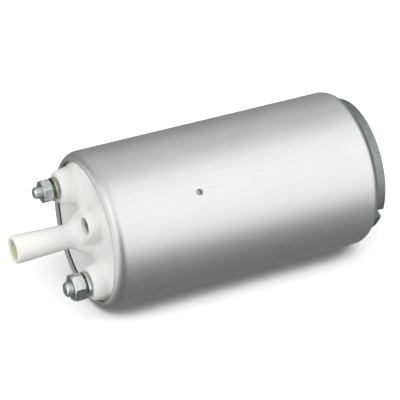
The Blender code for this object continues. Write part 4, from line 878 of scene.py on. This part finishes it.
def lamp(name, azimuth, elevation, wide, high, radiance):
    """Soft box seen from the pump under the given half angles, as bright all over as a white card."""
    width = 2.0 * LAMP_DISTANCE * math.tan(math.radians(wide))
    height = 2.0 * LAMP_DISTANCE * math.tan(math.radians(high))
    light = bpy.data.lights.new(name, "AREA")
    light.shape = "RECTANGLE"
    light.size = width
    light.size_y = height
    light.energy = math.pi * width * height * radiance
    item = new_object(name, light)
    away = direction(math.radians(azimuth), math.radians(elevation))
    item.location = TARGET + away * LAMP_DISTANCE
    item.rotation_mode = "QUATERNION"
    item.rotation_quaternion = away.to_track_quat("Z", "Y")


def light_studio():
    world = bpy.data.worlds.new("studio")
    bpy.context.scene.world = world
    world.use_nodes = True
    shade = world.node_tree.nodes["Background"]
    shade.inputs["Color"].default_value = (1.0, 1.0, 1.0, 1.0)
    shade.inputs["Strength"].default_value = WORLD_STRENGTH
    for name, values in LAMPS.items():
        lamp(name, *values)


def paper_with_painted_shadow():
    """White paper with a painted shadow where the pump is near, clear when seen from behind."""
    skin = Surface("paper_with_painted_shadow", (1.0, 1.0, 1.0), 0.0, 0.9)
    skin.tree.nodes.remove(skin.shader)
    paper = skin.node("ShaderNodeBsdfDiffuse")
    # Painted shadow: the paper darkens towards mid grey where ambient occlusion finds the pump near
    near = skin.node("ShaderNodeAmbientOcclusion")
    near.inputs["Distance"].default_value = SHADE_REACH
    shade = skin.node("ShaderNodeMix", data_type="RGBA")
    skin.link(skin.ranged(near.outputs["AO"], 0.0, 1.0, SHADE_START, SHADE_END), shade.inputs["Factor"])
    shade.inputs["A"].default_value = BENCH_PAINTED_SHADOW
    shade.inputs["B"].default_value = BENCH_OPEN
    skin.link(shade.outputs["Result"], paper.inputs["Color"])
    clear = skin.node("ShaderNodeBsdfTransparent")
    side = skin.node("ShaderNodeMixShader")
    skin.link(skin.node("ShaderNodeNewGeometry").outputs["Backfacing"], side.inputs["Fac"])
    skin.link(paper.outputs[0], side.inputs[1])
    skin.link(clear.outputs[0], side.inputs[2])
    skin.link(side.outputs[0], skin.tree.nodes["Material Output"].inputs["Surface"])
    return skin


def bench():
    """Pale surface that the can lies against in the picture."""
    cage = bmesh.new()
    bmesh.ops.create_grid(cage, x_segments=1, y_segments=1, size=BENCH_SIZE / 2.0)
    item = new_object("bench", mesh_of("bench", cage))
    outward = direction(BENCH_ANGLE, 0.0)
    item.location = outward * (CAN_RADIUS + BENCH_GAP) + Vector((0.0, 0.0, TARGET.z))
    item.rotation_mode = "QUATERNION"
    item.rotation_quaternion = (-outward).to_track_quat("Z", "Y")
    item.visible_diffuse = False
    item.visible_glossy = False
    item.visible_transmission = False
    item.visible_shadow = False
    paper_with_painted_shadow().use_on(item)


def place_camera():
    back = direction(0.0, CAMERA_ELEVATION)
    upright = Vector((-math.sin(CAMERA_ELEVATION), 0.0, math.cos(CAMERA_ELEVATION)))
    sideways = upright.cross(back)
    right = sideways * math.cos(CAMERA_ROLL) + upright * math.sin(CAMERA_ROLL)
    up = upright * math.cos(CAMERA_ROLL) - sideways * math.sin(CAMERA_ROLL)
    lens = bpy.data.cameras.new("camera")
    lens.lens = CAMERA_LENS
    lens.sensor_width = CAMERA_SENSOR
    lens.clip_start = CAMERA_NEAR
    lens.clip_end = CAMERA_FAR
    camera = new_object("camera", lens)
    place = TARGET + back * CAMERA_DISTANCE - right * CAMERA_RIGHT - up * CAMERA_UP
    turn = Matrix((right, up, back)).transposed()
    camera.matrix_world = Matrix.Translation(place) @ turn.to_4x4()
    bpy.context.scene.camera = camera


place_camera()
light_studio()
bench()

brushed_can().use_on(fine_can())
white_acetal().use_on(soft_cover())
CASTING = die_cast()
CASTING.use_on(fine_inlet())
ZINC = plated("zinc_plate", (0.62, 0.67, 0.66), 0.3)
ZINC.use_on(stud(M4), stud(M5), hex_nut(M4), hex_nut(M5), split_washer(M5))
plated("yellow_zinc", (0.44, 0.44, 0.34), 0.38).use_on(split_washer(M4))

# The CAD nodes that are shown as they are, each under its finish
FINISHES = (
    (CASTING, ("pump_body",)),
    (moulded("black_phenolic", (0.05, 0.05, 0.05), 0.5), ("impeller",)),
    (turned_metal("ground_steel", (0.55, 0.55, 0.56), 0.25),
     ("rotor_shaft", "thrust_pad", "relief_valve_ball")),
    (laminated(), ("armature_core",)),
    (wound_copper(), ("armature_windings",)),
    (turned_metal("turned_copper", (0.70, 0.36, 0.20), 0.3), ("commutator",)),
    (turned_metal("soft_steel", (0.32, 0.33, 0.35), 0.42), ("flux_ring",)),
    (moulded("brown_phenolic", (0.16, 0.09, 0.05), 0.55), ("brush_holder",)),
    (moulded("nitrile", (0.02, 0.02, 0.02), 0.65), ("check_valve_poppet", "cover_seal")),
    (turned_metal("sintered_bronze", (0.45, 0.30, 0.15), 0.5, 0.1 * MM), ("lower_bush", "upper_bush")),
    (moulded("ferrite", (0.08, 0.08, 0.09), 0.6), ("magnet_near", "magnet_far")),
    (plated("spring_steel", (0.42, 0.42, 0.43), 0.35),
     ("magnet_clip_upper", "magnet_clip_lower", "brush_spring_upper", "brush_spring_lower",
      "check_valve_spring", "relief_valve_spring")),
    (moulded("carbon", (0.04, 0.04, 0.045), 0.6), ("brush_upper", "brush_lower")),
    (plated("dull_steel", (0.22, 0.22, 0.21), 0.5), ("relief_valve_retainer",)),
    (turned_metal("stamped_brass", (0.70, 0.55, 0.25), 0.32),
     ("check_valve_retainer", "terminal_plate_m4", "terminal_plate_m5")),
)
for skin, names in FINISHES:
    for name in names:
        refine(NODES[name])
        skin.use_on(NODES[name])

# The springs that the joints deform each get a mesh of their own
for joint in frame["joints"]:
    for pressed in joint.get("deforming_nodes", []):
        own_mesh(NODES[pressed["node"]])

bpy.context.scene.view_settings.view_transform = "Standard"
bpy.context.view_layer.update()
